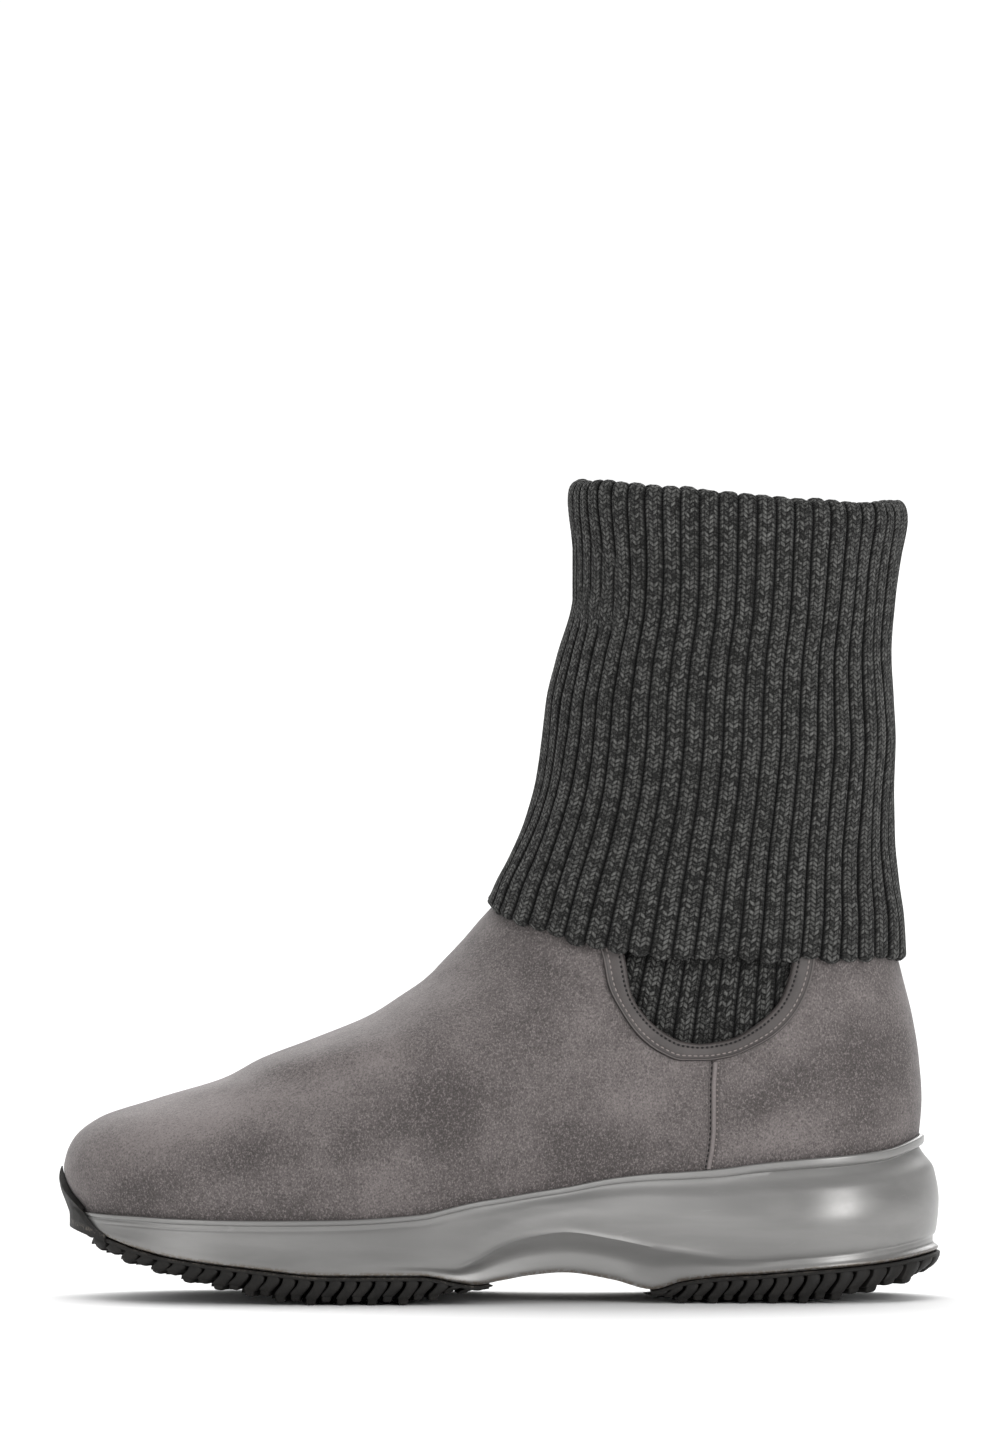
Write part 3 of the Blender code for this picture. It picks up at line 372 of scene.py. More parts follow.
def flat_normals(points, closed=True):
    """Outward directions in plan for an outline that starts at the toe and runs along -Y."""
    if closed:
        t = np.roll(points, -1, 0) - np.roll(points, 1, 0)
    else:
        t = np.gradient(points, axis=0)
    n = np.stack([t[:, 1], -t[:, 0], np.zeros(len(t))], 1)
    return n / np.linalg.norm(n, axis=1)[:, None]


def skin_normals(grid):
    """Outward directions of a grid whose rows are closed outlines from low to high."""
    up = np.gradient(grid, axis=0)
    along = np.roll(grid, -1, 1) - np.roll(grid, 1, 1)
    n = np.cross(along, up)
    return n / np.maximum(np.linalg.norm(n, axis=2), 1e-12)[:, :, None]


def spots(table, strength, points):
    """Sum of soft spots of a table at each point, weighted by the side that it is on."""
    total = np.zeros(points.shape[:-1])
    for spot in table["rows"]:
        at, height, long, wide, turn, amount, side = spot
        dx = points[..., 0] - LENGTH * (at / 100 - 0.5)
        dz = points[..., 2] - HEIGHT * height / 100
        along = (dx * cos(radians(turn)) + dz * sin(radians(turn))) / (long * MM)
        over = (-dx * sin(radians(turn)) + dz * cos(radians(turn))) / (wide * MM)
        here = ease(0.5 + side * (points[..., 1] - SHAFT_MIDDLE) / 0.03) if side else 1.0
        total = total + amount * strength * np.exp(-along ** 2 - over ** 2) * here
    return total


def relief(points):
    """How far the creases move the suede out at each point."""
    return spots(CREASES, MM * bpy.context.scene.boot_sizes.crease_depth, points)


def on_skin(x, z, side, lift):
    """Points on one side of the suede, lifted off it."""
    step = 0.0004
    y = body_side(x, z, side)
    slope_x = (body_side(x + step, z, side) - body_side(x - step, z, side)) / (2 * step)
    slope_z = (body_side(x, z + step, side) - body_side(x, z - step, side)) / (2 * step)
    n = np.stack([-slope_x, np.ones_like(y), -slope_z], -1) * side
    n = n / np.linalg.norm(n, axis=-1)[..., None]
    p = np.stack([x, y, z], -1)
    return p + n * (relief(p) + lift)[..., None], n


def grid_faces(rows, count, wrap_rows=False, wrap_columns=True):
    """Four-sided faces of a grid of points."""
    i = np.arange(rows if wrap_rows else rows - 1)[:, None]
    k = np.arange(count if wrap_columns else count - 1)[None, :]
    a = i * count + k
    b = i * count + (k + 1) % count
    c = ((i + 1) % rows) * count + (k + 1) % count
    d = ((i + 1) % rows) * count + k
    return np.stack([a, b, c, d], -1).reshape(-1, 4).tolist()


def ladder(count, base, closed=True):
    """Faces across one outline, rung by rung from its first point."""
    if closed:
        pairs = [(base + k, base + (count - k) % count) for k in range(count // 2 + 1)]
    else:
        pairs = [(base + k, base + count - 1 - k) for k in range(count // 2)]
    faces = []
    for (a, b), (c, d) in zip(pairs[:-1], pairs[1:]):
        faces.append(tuple(dict.fromkeys((a, c, d, b))))
    return faces


class Parts:
    """Collects points and faces of one piece."""

    def __init__(self):
        self.points = []
        self.faces = []
        self.count = 0

    def add(self, points, faces):
        points = np.asarray(points, float).reshape(-1, 3)
        self.faces += [tuple(i + self.count for i in face) for face in faces]
        self.points.append(points)
        self.count += len(points)

    def piece(self, name, sharp=None):
        return new_piece(name, np.concatenate(self.points), self.faces, sharp)


def new_piece(name, points, faces, sharp=None):
    """Mesh object at the place of the solids, smooth except over edges sharper than an angle."""
    mesh = bpy.data.meshes.new(name)
    mesh.from_pydata((np.asarray(points).reshape(-1, 3) + CENTRE).tolist(), [], faces)
    bm = bmesh.new()
    bm.from_mesh(mesh)
    bmesh.ops.recalc_face_normals(bm, faces=bm.faces)
    bm.to_mesh(mesh)
    bm.free()
    mesh.polygons.foreach_set("use_smooth", [True] * len(mesh.polygons))
    if sharp is not None:
        mesh.set_sharp_from_angle(angle=radians(sharp))
    item = bpy.data.objects.new(name, mesh)
    bpy.context.scene.collection.objects.link(item)
    return item


def settle(item):
    """Make an object's modifiers real."""
    graph = bpy.context.evaluated_depsgraph_get()
    mesh = bpy.data.meshes.new_from_object(item.evaluated_get(graph))
    item.modifiers.clear()
    item.data = mesh


def dress(item, finish, slot, *nodes):
    """Give a piece its material and its body, and hide the solids that it stands for."""
    item.data.materials.clear()
    item.data.materials.append(finish)
    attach(item, "root")
    if nodes:
        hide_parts(*nodes)


def add_numbers(mesh, name, values):
    """Store one number a point for a material to read."""
    layer = mesh.attributes.new(name, "FLOAT", "POINT")
    layer.data.foreach_set("value", np.asarray(values, np.float32).ravel())


class Value:
    """What a node gives; sums and products of it add Math nodes."""

    def __init__(self, shade, socket):
        self.shade = shade
        self.socket = socket

    def math(self, operation, *numbers):
        return self.shade.node("ShaderNodeMath", {"operation": operation}, dict(enumerate(numbers)))

    def __add__(self, other):
        return self.math("ADD", self, other)

    def __sub__(self, other):
        return self.math("SUBTRACT", self, other)

    def __rsub__(self, other):
        return self.math("SUBTRACT", other, self)

    def __mul__(self, other):
        return self.math("MULTIPLY", self, other)

    def __pow__(self, other):
        return self.math("POWER", self, other)

    __radd__ = __add__
    __rmul__ = __mul__


class Shade:
    """Builds a node tree. node() adds any node, and the other methods are short forms of it."""

    def __init__(self, tree):
        self.tree = tree

    def feed(self, socket, value):
        """Link a value to a socket, or set the socket to a plain one."""
        if isinstance(value, Value):
            self.tree.links.new(value.socket, socket)
        else:
            socket.default_value = value

    def node(self, kind, settings=None, inputs=None, output=0):
        """One node: its type, its settings, then the values or links of its sockets."""
        new = self.tree.nodes.new(kind)
        for name, value in (settings or {}).items():
            setattr(new, name, value)
        for name, value in (inputs or {}).items():
            self.feed(new.inputs[name], value)
        return Value(self, new.outputs[output])

    def where(self):
        """Place of the point on the object, in metres."""
        return self.node("ShaderNodeTexCoord", output="Object")

    def stretched(self, vector, factors):
        """A vector with each of its numbers times its own factor."""
        return self.node("ShaderNodeVectorMath", {"operation": "MULTIPLY"}, {0: vector, 1: factors})

    def noise(self, size, detail=2.0, rough=0.5, warp=0.0, vector=None):
        """Noise from 0 to 1 with spots of about the given size."""
        values = {"Vector": vector or self.where(), "Scale": 1 / size, "Detail": detail,
                  "Roughness": rough, "Distortion": warp}
        return self.node("ShaderNodeTexNoise", inputs=values)

    def step(self, value, low, high, start=0.0, end=1.0):
        """Smooth step of a value from start at low to end at high."""
        values = {"Value": value, "From Min": low, "From Max": high, "To Min": start, "To Max": end}
        return self.node("ShaderNodeMapRange", {"interpolation_type": "SMOOTHSTEP"}, values)

    def mix(self, share, first, second):
        """Mix of two colours."""
        return self.node("ShaderNodeMix", {"data_type": "RGBA"}, {0: share, 6: first, 7: second}, output=2)

    def numbers(self, name):
        """A number stored at each point."""
        return self.node("ShaderNodeAttribute", {"attribute_name": name}, output="Fac")

    def triple(self, vector):
        """The three numbers of a vector."""
        return [self.node("ShaderNodeSeparateXYZ", inputs={0: vector}, output=i) for i in range(3)]

    def bump(self, height, distance, normal=None, strength=1.0):
        """Surface direction with a height from 0 to 1 worked into it."""
        values = {"Height": height, "Distance": distance, "Strength": strength}
        if normal:
            values["Normal"] = normal
        return self.node("ShaderNodeBump", inputs=values)


class Finish(Shade):
    """A material on one shader, whose plain values are set on the shader itself."""

    def __init__(self, name, **plain):
        self.material = bpy.data.materials.new(name)
        self.material.use_nodes = True
        super().__init__(self.material.node_tree)
        self.shader = self.tree.nodes["Principled BSDF"]
        self.set(**plain)

    def set(self, **sockets):
        """Feed the shader's sockets, named in lower case with underscores."""
        names = {socket.name.lower().replace(" ", "_"): socket for socket in self.shader.inputs}
        for name, value in sockets.items():
            self.feed(names[name], value)


def tint(colour, factor):
    """A colour, brighter or darker."""
    return (*[min(1.0, c * factor) for c in colour], 1.0)


def grey(level):
    """A colour without a hue."""
    return (level, level, level, 1.0)


def suede_finish(colours):
    """Brushed suede: soft patches of brushed pile mixed with painted shade and painted light, fine light and
    dark fibres, no gloss.
    """
    f = Finish("suede", sheen_weight=0.16, sheen_roughness=0.45, specular_ior_level=0.15)
    # The stored numbers carry brushed pile patches with painted shade and painted light mixed in.
    nap_and_painted_shading = f.numbers("nap_and_painted_shading")
    cloud = f.noise(0.026, 3.0, 0.55)
    blotch = f.noise(0.0075, 3.0, 0.6, 0.4)
    speck = f.noise(0.00075, 2.0, 0.7)
    fibre = f.noise(0.00038, 2.0, 0.6, vector=f.stretched(f.where(), (1.0, 1.0, 0.6)))
    tone = 0.5 + nap_and_painted_shading * 0.46 + (cloud - 0.5) * 0.75 + (blotch - 0.5) * 0.40
    base = f.mix(f.step(tone, 0.05, 0.95), tint(colours.suede, 0.52), tint(colours.suede, 1.32))
    grain = speck * 0.5 + fibre * 0.5
    coarse = f.step(tone, 0.95, 0.20, 0.55, 0.78)
    base = f.mix(f.step(grain, 0.50, 0.62) * coarse * 0.55, base, tint(colours.suede, 2.1))
    base = f.mix(f.step(grain, 0.490, 0.37) * coarse * 0.85, base, tint(colours.suede, 0.32))
    wavy = f.bump(blotch * 0.7 + cloud * 0.3, 0.0006, strength=0.5)
    normal = f.bump(grain, 0.00026, wavy, 0.85)
    f.set(base_color=base, roughness=f.step(tone, 0.0, 1.0, 0.98, 0.86), normal=normal)
    return f.material


def lining_finish(colours):
    """Soft lining fabric inside the foot."""
    f = Finish("lining", roughness=0.95, specular_ior_level=0.2)
    weave = f.noise(0.0006, 2.0, 0.6)
    base = f.mix(weave, tint(colours.footbed, 0.6), tint(colours.footbed, 1.3))
    f.set(base_color=base, normal=f.bump(weave, 0.0002))
    return f.material


def leather_finish(colours):
    """Smooth calf leather of the binding, with a painted highlight on its raised cord, painted shade in the
    groove beside it and a painted shadow on its outer wall.
    """
    f = Finish("binding_leather", coat_weight=0.12, coat_roughness=0.45, specular_ior_level=0.4)
    cloud = f.noise(0.012, 3.0, 0.55)
    grain = f.noise(0.00055, 3.0, 0.6, 0.3)
    base = f.mix(f.step(cloud, 0.3, 0.72), tint(colours.binding, 0.80), tint(colours.binding, 1.18))
    base = f.mix(f.step(grain, 0.52, 0.72) * 0.35, base, tint(colours.binding, 1.7))
    edge = f.numbers("edge")
    # painted highlight on the raised cord
    base = f.mix(f.step(edge, 0.2, 1.0) * 0.7, base, tint(colours.binding, 2.2))
    # painted shade in the groove beside the cord and painted shadow on the outer wall
    base = f.mix(f.step(edge, -0.1, -0.8) * 0.8, base, tint(colours.binding, 0.25))
    rough = f.step(grain, 0.3, 0.7, 0.50, 0.66)
    f.set(base_color=base, roughness=rough, normal=f.bump(grain, 0.00010, strength=0.6))
    return f.material


def seam_finish(colours):
    """Turned suede edge of the side seam, painted lighter the higher it stands: painted light on the raised
    cord, painted shade in the low parts beside and under it.
    """
    f = Finish("seam_suede", roughness=0.92, specular_ior_level=0.2)
    speck = f.noise(0.0006, 2.0, 0.65)
    # lighter where the seam stands higher: painted light on the cord, painted shade in the low parts
    groove = f.step(f.numbers("edge"), 0.15, 0.85)
    base = f.mix(groove, tint(colours.suede, 0.62), tint(colours.suede, 1.30))
    base = f.mix(f.step(speck, 0.5, 0.7) * 0.4, base, tint(colours.suede, 1.9))
    f.set(base_color=base, normal=f.bump(speck, 0.00015, strength=0.7))
    return f.material


def thread_finish(name, colour):
    """Twisted sewing thread."""
    f = Finish(name, roughness=0.72, specular_ior_level=0.3)
    twist = f.noise(0.00030, 1.0, 0.5)
    f.set(base_color=f.mix(twist, tint(colour, 0.7), tint(colour, 1.3)), normal=f.bump(twist, 0.00008))
    return f.material


def knit_finish(colours):
    """Heather yarn in rows of V stitches, two columns of them on each rib, with painted shade in the gaps
    between the stitches and in the valleys between the ribs.
    """
    f = Finish("knit", roughness=0.96, sheen_weight=0.05, sheen_roughness=0.55, specular_ior_level=0.12)
    rib, row, _ = f.triple(f.node("ShaderNodeAttribute", {"attribute_name": "knit"}, output="Vector"))
    cell = rib.math("FRACT", rib * 2)
    off_middle = (cell * 2) - 1
    leg = off_middle.math("ABSOLUTE", off_middle)
    wobble = (f.noise(0.0022, 1.0) - 0.5) * 0.30
    height = row + leg * 0.72 + wobble
    phase = rib.math("FRACT", height)
    arch = phase.math("SINE", phase * pi)
    across = 1 - ((leg * 2) - 1) ** 2
    yarn = (arch ** 0.6) * (0.30 + across * 0.70)
    inside = rib.math("FRACT", rib)
    crest = inside.math("SINE", inside * pi)
    valley = f.step(crest, 0.08, 0.62)
    # each leg of a stitch has its own shade of yarn
    leg_at = {0: rib.math("FLOOR", rib * 4), 1: row.math("FLOOR", height)}
    leg_number = f.node("ShaderNodeCombineXYZ", inputs=leg_at)
    shade = f.node("ShaderNodeTexWhiteNoise", {"noise_dimensions": "3D"}, {"Vector": leg_number})
    heather = f.noise(0.00050, 2.0, 0.65)
    fleck = f.noise(0.00045, 1.0, 0.5, vector=f.stretched(f.where(), (1.0, 1.0, 0.6)))
    band = f.noise(0.02, 2.0, 0.5, vector=f.stretched(f.where(), (0.25, 0.25, 2.2)))
    yarns = f.step(shade * 0.24 + heather * 0.76, 0.36, 0.63)
    base = f.mix(yarns, tint(colours.knit, 0.25), tint(colours.knit, 2.20))
    base = f.mix(f.step(shade * 0.22 + fleck * 0.78, 0.55, 0.68) * 0.60, base, tint(colours.knit, 3.6))
    base = f.mix(f.step(band, 0.3, 0.7) * 0.20, base, tint(colours.knit, 0.75))
    # painted shade in the gaps between the legs of the stitches
    base = f.mix((1 - f.step(yarn, 0.10, 0.80)) * 0.92, base, tint(colours.knit, 0.10))
    # painted shade in the valleys between the ribs
    base = f.mix((1 - valley) * 0.97, base, tint(colours.knit, 0.05))
    fuzz = f.bump(heather, 0.00025, strength=0.8)
    f.set(base_color=base, normal=f.bump(yarn, 0.00080, fuzz, 1.0))
    return f.material


def moulded_finish(colours):
    """Pearl grey moulded sole: satin, with faint flow marks, rubs and dust at the joint."""
    f = Finish("moulded_sole", metallic=0.42, coat_weight=0.25, coat_roughness=0.34)
    flow = f.noise(0.02, 4.0, 0.6, 0.3, f.stretched(f.where(), (0.35, 1.0, 2.2)))
    fine = f.noise(0.0012, 3.0, 0.7)
    rubs = f.noise(0.004, 5.0, 0.75, 0.8, f.stretched(f.where(), (0.4, 1.0, 1.6)))
    base = f.mix(f.step(flow, 0.3, 0.7), tint(colours.midsole, 0.90), tint(colours.midsole, 1.08))
    base = f.mix(f.step(rubs, 0.63, 0.74) * 0.22, base, tint(colours.midsole, 1.6))
    dust = f.step(f.numbers("dust"), 0.05, 0.8) * f.step(fine * 0.6 + rubs * 0.4, 0.42, 0.55)
    base = f.mix(dust * 0.85, base, MOULD_DUST)
    rough = f.step(flow * 0.6 + fine * 0.4, 0.25, 0.75, 0.32, 0.43)
    f.set(base_color=base, roughness=rough, normal=f.bump(flow * 0.6 + fine * 0.1, 0.0003, strength=0.35))
    return f.material


def rubber_finish(name, colours):
    """Black rubber with dusty edges."""
    f = Finish(name, specular_ior_level=0.22)
    fine = f.noise(0.0008, 3.0, 0.65)
    cloud = f.noise(0.006, 4.0, 0.65, 0.4)
    base = f.mix(f.step(cloud, 0.35, 0.7), tint(colours.rubber, 0.65), tint(colours.rubber, 1.25))
    base = f.mix(f.step(fine * 0.5 + cloud * 0.5, 0.55, 0.75) * 0.35, base, tint(colours.rubber, 2.6))
    dust = f.step(f.numbers("dust"), 0.2, 1.0) * f.step(fine * 0.6 + cloud * 0.4, 0.48, 0.60)
    base = f.mix(dust * 0.6, base, RUBBER_DUST)
    rough = f.step(cloud, 0.3, 0.7, 0.52, 0.74)
    f.set(base_color=base, roughness=rough, normal=f.bump(fine, 0.00016, strength=0.6))
    return f.material


def footbed_finish(colours):
    """Felt footbed."""
    f = Finish("footbed", roughness=0.97, specular_ior_level=0.15)
    felt = f.noise(0.0009, 3.0, 0.7)
    base = f.mix(felt, tint(colours.footbed, 0.6), tint(colours.footbed, 1.5))
    f.set(base_color=base, normal=f.bump(felt, 0.0003))
    return f.material


def floor_finish():
    """Plain matt white floor."""
    f = Finish("floor_white", base_color=grey(0.86), specular_ior_level=0.0)
    f.set(roughness=f.step(f.noise(0.6), 0.2, 0.8, 0.92, 0.98))
    return f.material


def inside_outline(x, z, outline):
    """True where a point lies inside a closed outline."""
    inside = np.zeros(np.shape(x), bool)
    for (x0, z0), (x1, z1) in zip(outline, outline[1:] + outline[:1]):
        crosses = (z0 > z) != (z1 > z)
        at = x0 + (z - z0) * (x1 - x0) / np.where(z1 == z0, 1e-9, z1 - z0)
        inside ^= crosses & (x < at)
    return inside


def curve_points(table, count):
    """Evenly spaced points along the line of a table."""
    x = LENGTH * (column(table, "place") / 100 - 0.5)
    z = HEIGHT * column(table, "height") / 100
    run = np.concatenate([[0], np.cumsum(np.hypot(np.diff(x), np.diff(z)))])
    want = np.linspace(0, run[-1], count)
    return np.stack([smooth_through(run, x, want), smooth_through(run, z, want)], 1)


def spaced_rows(low, high, count):
    """Shares between two lines that come out evenly spaced along the toe and instep."""
    share = np.linspace(0, 1, 160)
    tips = np.array([ring(blend(low, high, s), [0, pi]) for s in share])
    step = np.hypot(*np.diff(tips[:, 0, [0, 2]], axis=0).T)
    rise = np.abs(np.diff(tips[:, 1, 2]))
    run = np.concatenate([[0], np.cumsum(step + 0.9 * rise)])
    return np.interp(np.linspace(0, run[-1], count), run, share)


def build_upper(colours):
    """Suede foot with its lining, open at the collar and at the two U cut-outs."""
    low = lambda x: sole_floor(x) + GAP
    high = line_at(COLLAR, "height")
    shares = spaced_rows(low, high, UPPER_ROWS)
    grid = np.stack([ring(blend(low, high, s), full(UPPER_COLUMNS)) for s in shares])
    normals = skin_normals(grid)
    skin = grid + normals * relief(grid)[:, :, None]
    inner = curve_points(U_INNER, 90)
    outer = curve_points(U_OUTER, 90)
    # the suede ends under the binding
    edge = [tuple(p) for p in inner * 0.72 + outer * 0.28]
    cut = [(edge[0][0], 0.6 * HEIGHT)] + edge + [(edge[-1][0], 0.6 * HEIGHT)]
    faces = np.array(grid_faces(UPPER_ROWS, UPPER_COLUMNS))
    middle = grid.reshape(-1, 3)[faces].mean(1)
    keep = ~inside_outline(middle[:, 0], middle[:, 2], cut)
    item = new_piece("suede_upper", skin, faces[keep].tolist())
    # Painted contact shadow where the suede meets the midsole and painted shade under the hem of the cuff
    # are taken off the spots.
    above = np.exp(-(grid[:, :, 2] - sole_top(grid[:, :, 0])) / 0.0022)
    below = np.exp(-np.abs(line_at(HEM, "height")(grid[:, :, 0]) - grid[:, :, 2]) / 0.008)
    add_numbers(item.data, "nap_and_painted_shading", spots(NAP_AND_PAINTED_SHADING, 1.0, grid) - 0.9 * np.clip(above, 0, 1) - 0.5 * below)
    wall = item.modifiers.new("wall", "SOLIDIFY")
    wall.thickness = WALL
    wall.offset = -1.0
    wall.material_offset = 1
    wall.material_offset_rim = 1
    item.data.materials.append(None)
    item.data.materials.append(None)
    settle(item)
    dress(item, suede_finish(colours), "suede", "upper")
    item.data.materials.append(lining_finish(colours))


def sweep(name, points, finish, slot, node, edge):
    """Band whose rows are cross-sections, with its open ends closed."""
    rows, count = points.shape[:2]
    faces = grid_faces(rows, count)
    for base in (0, (rows - 1) * count):
        faces += ladder(count, base, closed=False)
    item = new_piece(name, points, faces)
    add_numbers(item.data, "edge", np.tile(edge, (rows, 1)))
    dress(item, finish, slot, node)


def stitch(parts, middle, along, up, long, thick):
    """One stitch: a short rounded bar that dips into the leather at both ends."""
    across = np.cross(along, up)
    rows = []
    a = full(6)[:, None]
    circle = np.cos(a) * across + np.sin(a) * up * 0.8
    for share, size, sink in ((-0.5, 0.35, 0.9), (-0.38, 0.8, 0.35), (-0.15, 1, 0), (0.15, 1, 0),
                              (0.38, 0.8, 0.35), (0.5, 0.35, 0.9)):
        rows.append(middle + along * share * long + circle * thick / 2 * size - up * sink * thick / 2)
    faces = grid_faces(6, 6) + [tuple(range(6)), tuple(range(30, 36))]
    parts.add(np.concatenate(rows), faces)


def stitch_row(parts, line, ups, pitch, long, thick):
    """Stitches along a line of points."""
    step = np.linalg.norm(np.diff(line, axis=0), axis=1)
    run = np.concatenate([[0], np.cumsum(step)])
    for at in np.arange(pitch / 2, run[-1], pitch):
        middle = np.array([np.interp(at, run, line[:, i]) for i in range(3)])
        ahead = np.array([np.interp(at + pitch / 4, run, line[:, i]) for i in range(3)])
        up = np.array([np.interp(at, run, ups[:, i]) for i in range(3)])
        along = (ahead - middle) / np.linalg.norm(ahead - middle)
        stitch(parts, middle, along, up / np.linalg.norm(up), long, thick)


def band_point(inner, outer, side, across, lift):
    """Line along the binding at one share of its width."""
    p = inner + (outer - inner) * across
    return on_skin(p[:, 0], p[:, 1], side, np.full(len(p), lift))


def build_bindings(colours, dark, light):
    """Leather bindings round the U cut-outs, with their two rows of stitches."""
    finish = leather_finish(colours)
    inner = curve_points(U_INNER, 320)
    outer = curve_points(U_OUTER, 320)
    across = column(BAND, "across") / 100
    lift = column(BAND, "lift") * MM + GAP
    fine = np.linspace(0, 1, 46)
    run = np.concatenate([[0], np.cumsum(np.hypot(np.diff(across) * BINDING, np.diff(lift)))])
    across_fine = smooth_through(run / run[-1], across, fine)
    lift_fine = smooth_through(run / run[-1], lift, fine)
    # The edge numbers mark painted light: a painted highlight on the raised cord, painted shade in the
    # groove beside it and painted shadow on the outer wall.
    cord = np.exp(-((across_fine - 0.93) / 0.035) ** 2)
    groove = np.exp(-((across_fine - 0.865) / 0.02) ** 2)
    edge = np.where(across_fine > 0.985, -1.0, (cord - 0.8 * groove) * (lift_fine > 0.0009))
    for side, word in ((-1.0, "lateral"), (1.0, "medial")):
        rows = [band_point(inner, outer, side, a, h)[0] for a, h in zip(across_fine, lift_fine)]
        grid = np.stack(rows, 1)
        sweep("binding_" + word, grid, finish, word + "_binding", "gore_binding_" + word, edge)
        for parts, (at, high, *sizes) in zip((dark, light), BAND_STITCHES["rows"]):
            line, ups = band_point(inner, outer, side, at / 100, high * MM + GAP)
            stitch_row(parts, line, ups, *[size * MM for size in sizes])


def build_seams(colours, dark, light):
    """Raised side seams from the binding down to the sole, with a row of stitches on each side."""
    finish = seam_finish(colours)
    count = 120
    z = np.linspace(0.163, 0.2935, count) * HEIGHT
    middle = LENGTH * (follow(SIDE_SEAM, "place", z / HEIGHT) - 0.5)
    across = column(CORD, "across") * MM
    lift = column(CORD, "lift") * MM
    fine = np.linspace(across[0], across[-1], 33)
    lift_fine = smooth_through(across, lift, fine)
    # The height off the suede is kept to paint light on the raised cord and shade in the low parts.
    edge = np.clip(lift_fine / MM, 0, 1)
    for side, word in ((-1.0, "lateral"), (1.0, "medial")):
        rows = [on_skin(middle + a, z, side, np.full(count, h))[0] for a, h in zip(fine, lift_fine)]
        under = [on_skin(middle + a, z, side, np.full(count, -0.0004))[0] for a in fine[::-8]]
        grid = np.stack(rows + under, 1)
        edges = np.concatenate([edge, np.zeros(len(under))])
        sweep("seam_" + word, grid, finish, word + "_seam", "side_seam_" + word, edges)
        for parts, (at, high, *sizes) in zip((dark, light), SEAM_STITCHES["rows"]):
            line, ups = on_skin(middle + at * MM, z, side, np.full(count, high * MM))
            stitch_row(parts, line, ups, *[size * MM for size in sizes])


def knit_rows():
    """Rows of the knit before its ribs: down inside the cuff, round the hem, up, over and down the tube."""
    angles = np.array([(rib + step) / RIBS * 2 * pi for rib in range(RIBS) for step in RIB_STEPS])
    low = line_at(KNIT_LOW, "height")
    top = line_at(FOLD, "height")
    hem = lambda x: line_at(HEM, "height")(x) + KNIT / 2
    under = lambda x: top(x) - FOLD_HIGH
    way = dict(front=cuff_front, back=cuff_back, across=cuff_side, even=True)
    tuck = -TUCK * np.clip(np.cos(angles), 0, 1) ** 8

    def skin(bottom, share, away, **how):
        rows = np.stack([ring(blend(bottom, under, s), angles, **how) for s in share])
        return rows + skin_normals(rows) * np.broadcast_to(away, rows.shape[:2])[:, :, None]

    def tube(share, depth):
        near_body = skin(low, share, tuck - WALL - EASE - depth, even=True)
        near_cuff = skin(low, share, tuck - KNIT - EASE - depth, **way)
        part = ease((near_body[:, :, 2:] / HEIGHT - 0.53) / 0.12)
        return near_body * (1 - part) + near_cuff * part

    outside = skin(hem, np.linspace(0, 1, 98), 0.0, **way)
    inside = skin(hem, (0, 0.05, 0.16, 0.4, 0.7, 1.0), -KNIT, **way)
    tube_out = tube(np.concatenate([np.linspace(0, 0.34, 34), [0.48, 0.62, 1.0]]), 0.0)
    tube_in = tube(np.linspace(0, 1, 26) ** 1.2, KNIT)
    turn = np.linspace(0, pi, 15)[1:-1]
    rise = top(outside[-1][:, 0]) - under(outside[-1][:, 0])
    over = []
    for a in turn:
        share = (1 - cos(a)) / 2
        row = outside[-1] * (1 - share) + tube_in[-1] * share
        row[:, 2] = under(row[:, 0]) + rise * sin(a) ** 0.75
        over.append(row)
    edge = []
    for a in np.linspace(0, pi, 6)[1:-1]:
        share = (1 + cos(a)) / 2
        row = inside[0] * share + outside[0] * (1 - share)
        row[:, 2] -= KNIT / 2 * sin(a)
        edge.append(row)
    rows = list(inside[::-1]) + edge + list(outside) + over + list(tube_in[::-1]) + list(tube_out)
    parts = [len(inside), len(edge), len(outside), len(over), len(tube_in), len(tube_out)]
    return np.stack(rows), angles, parts


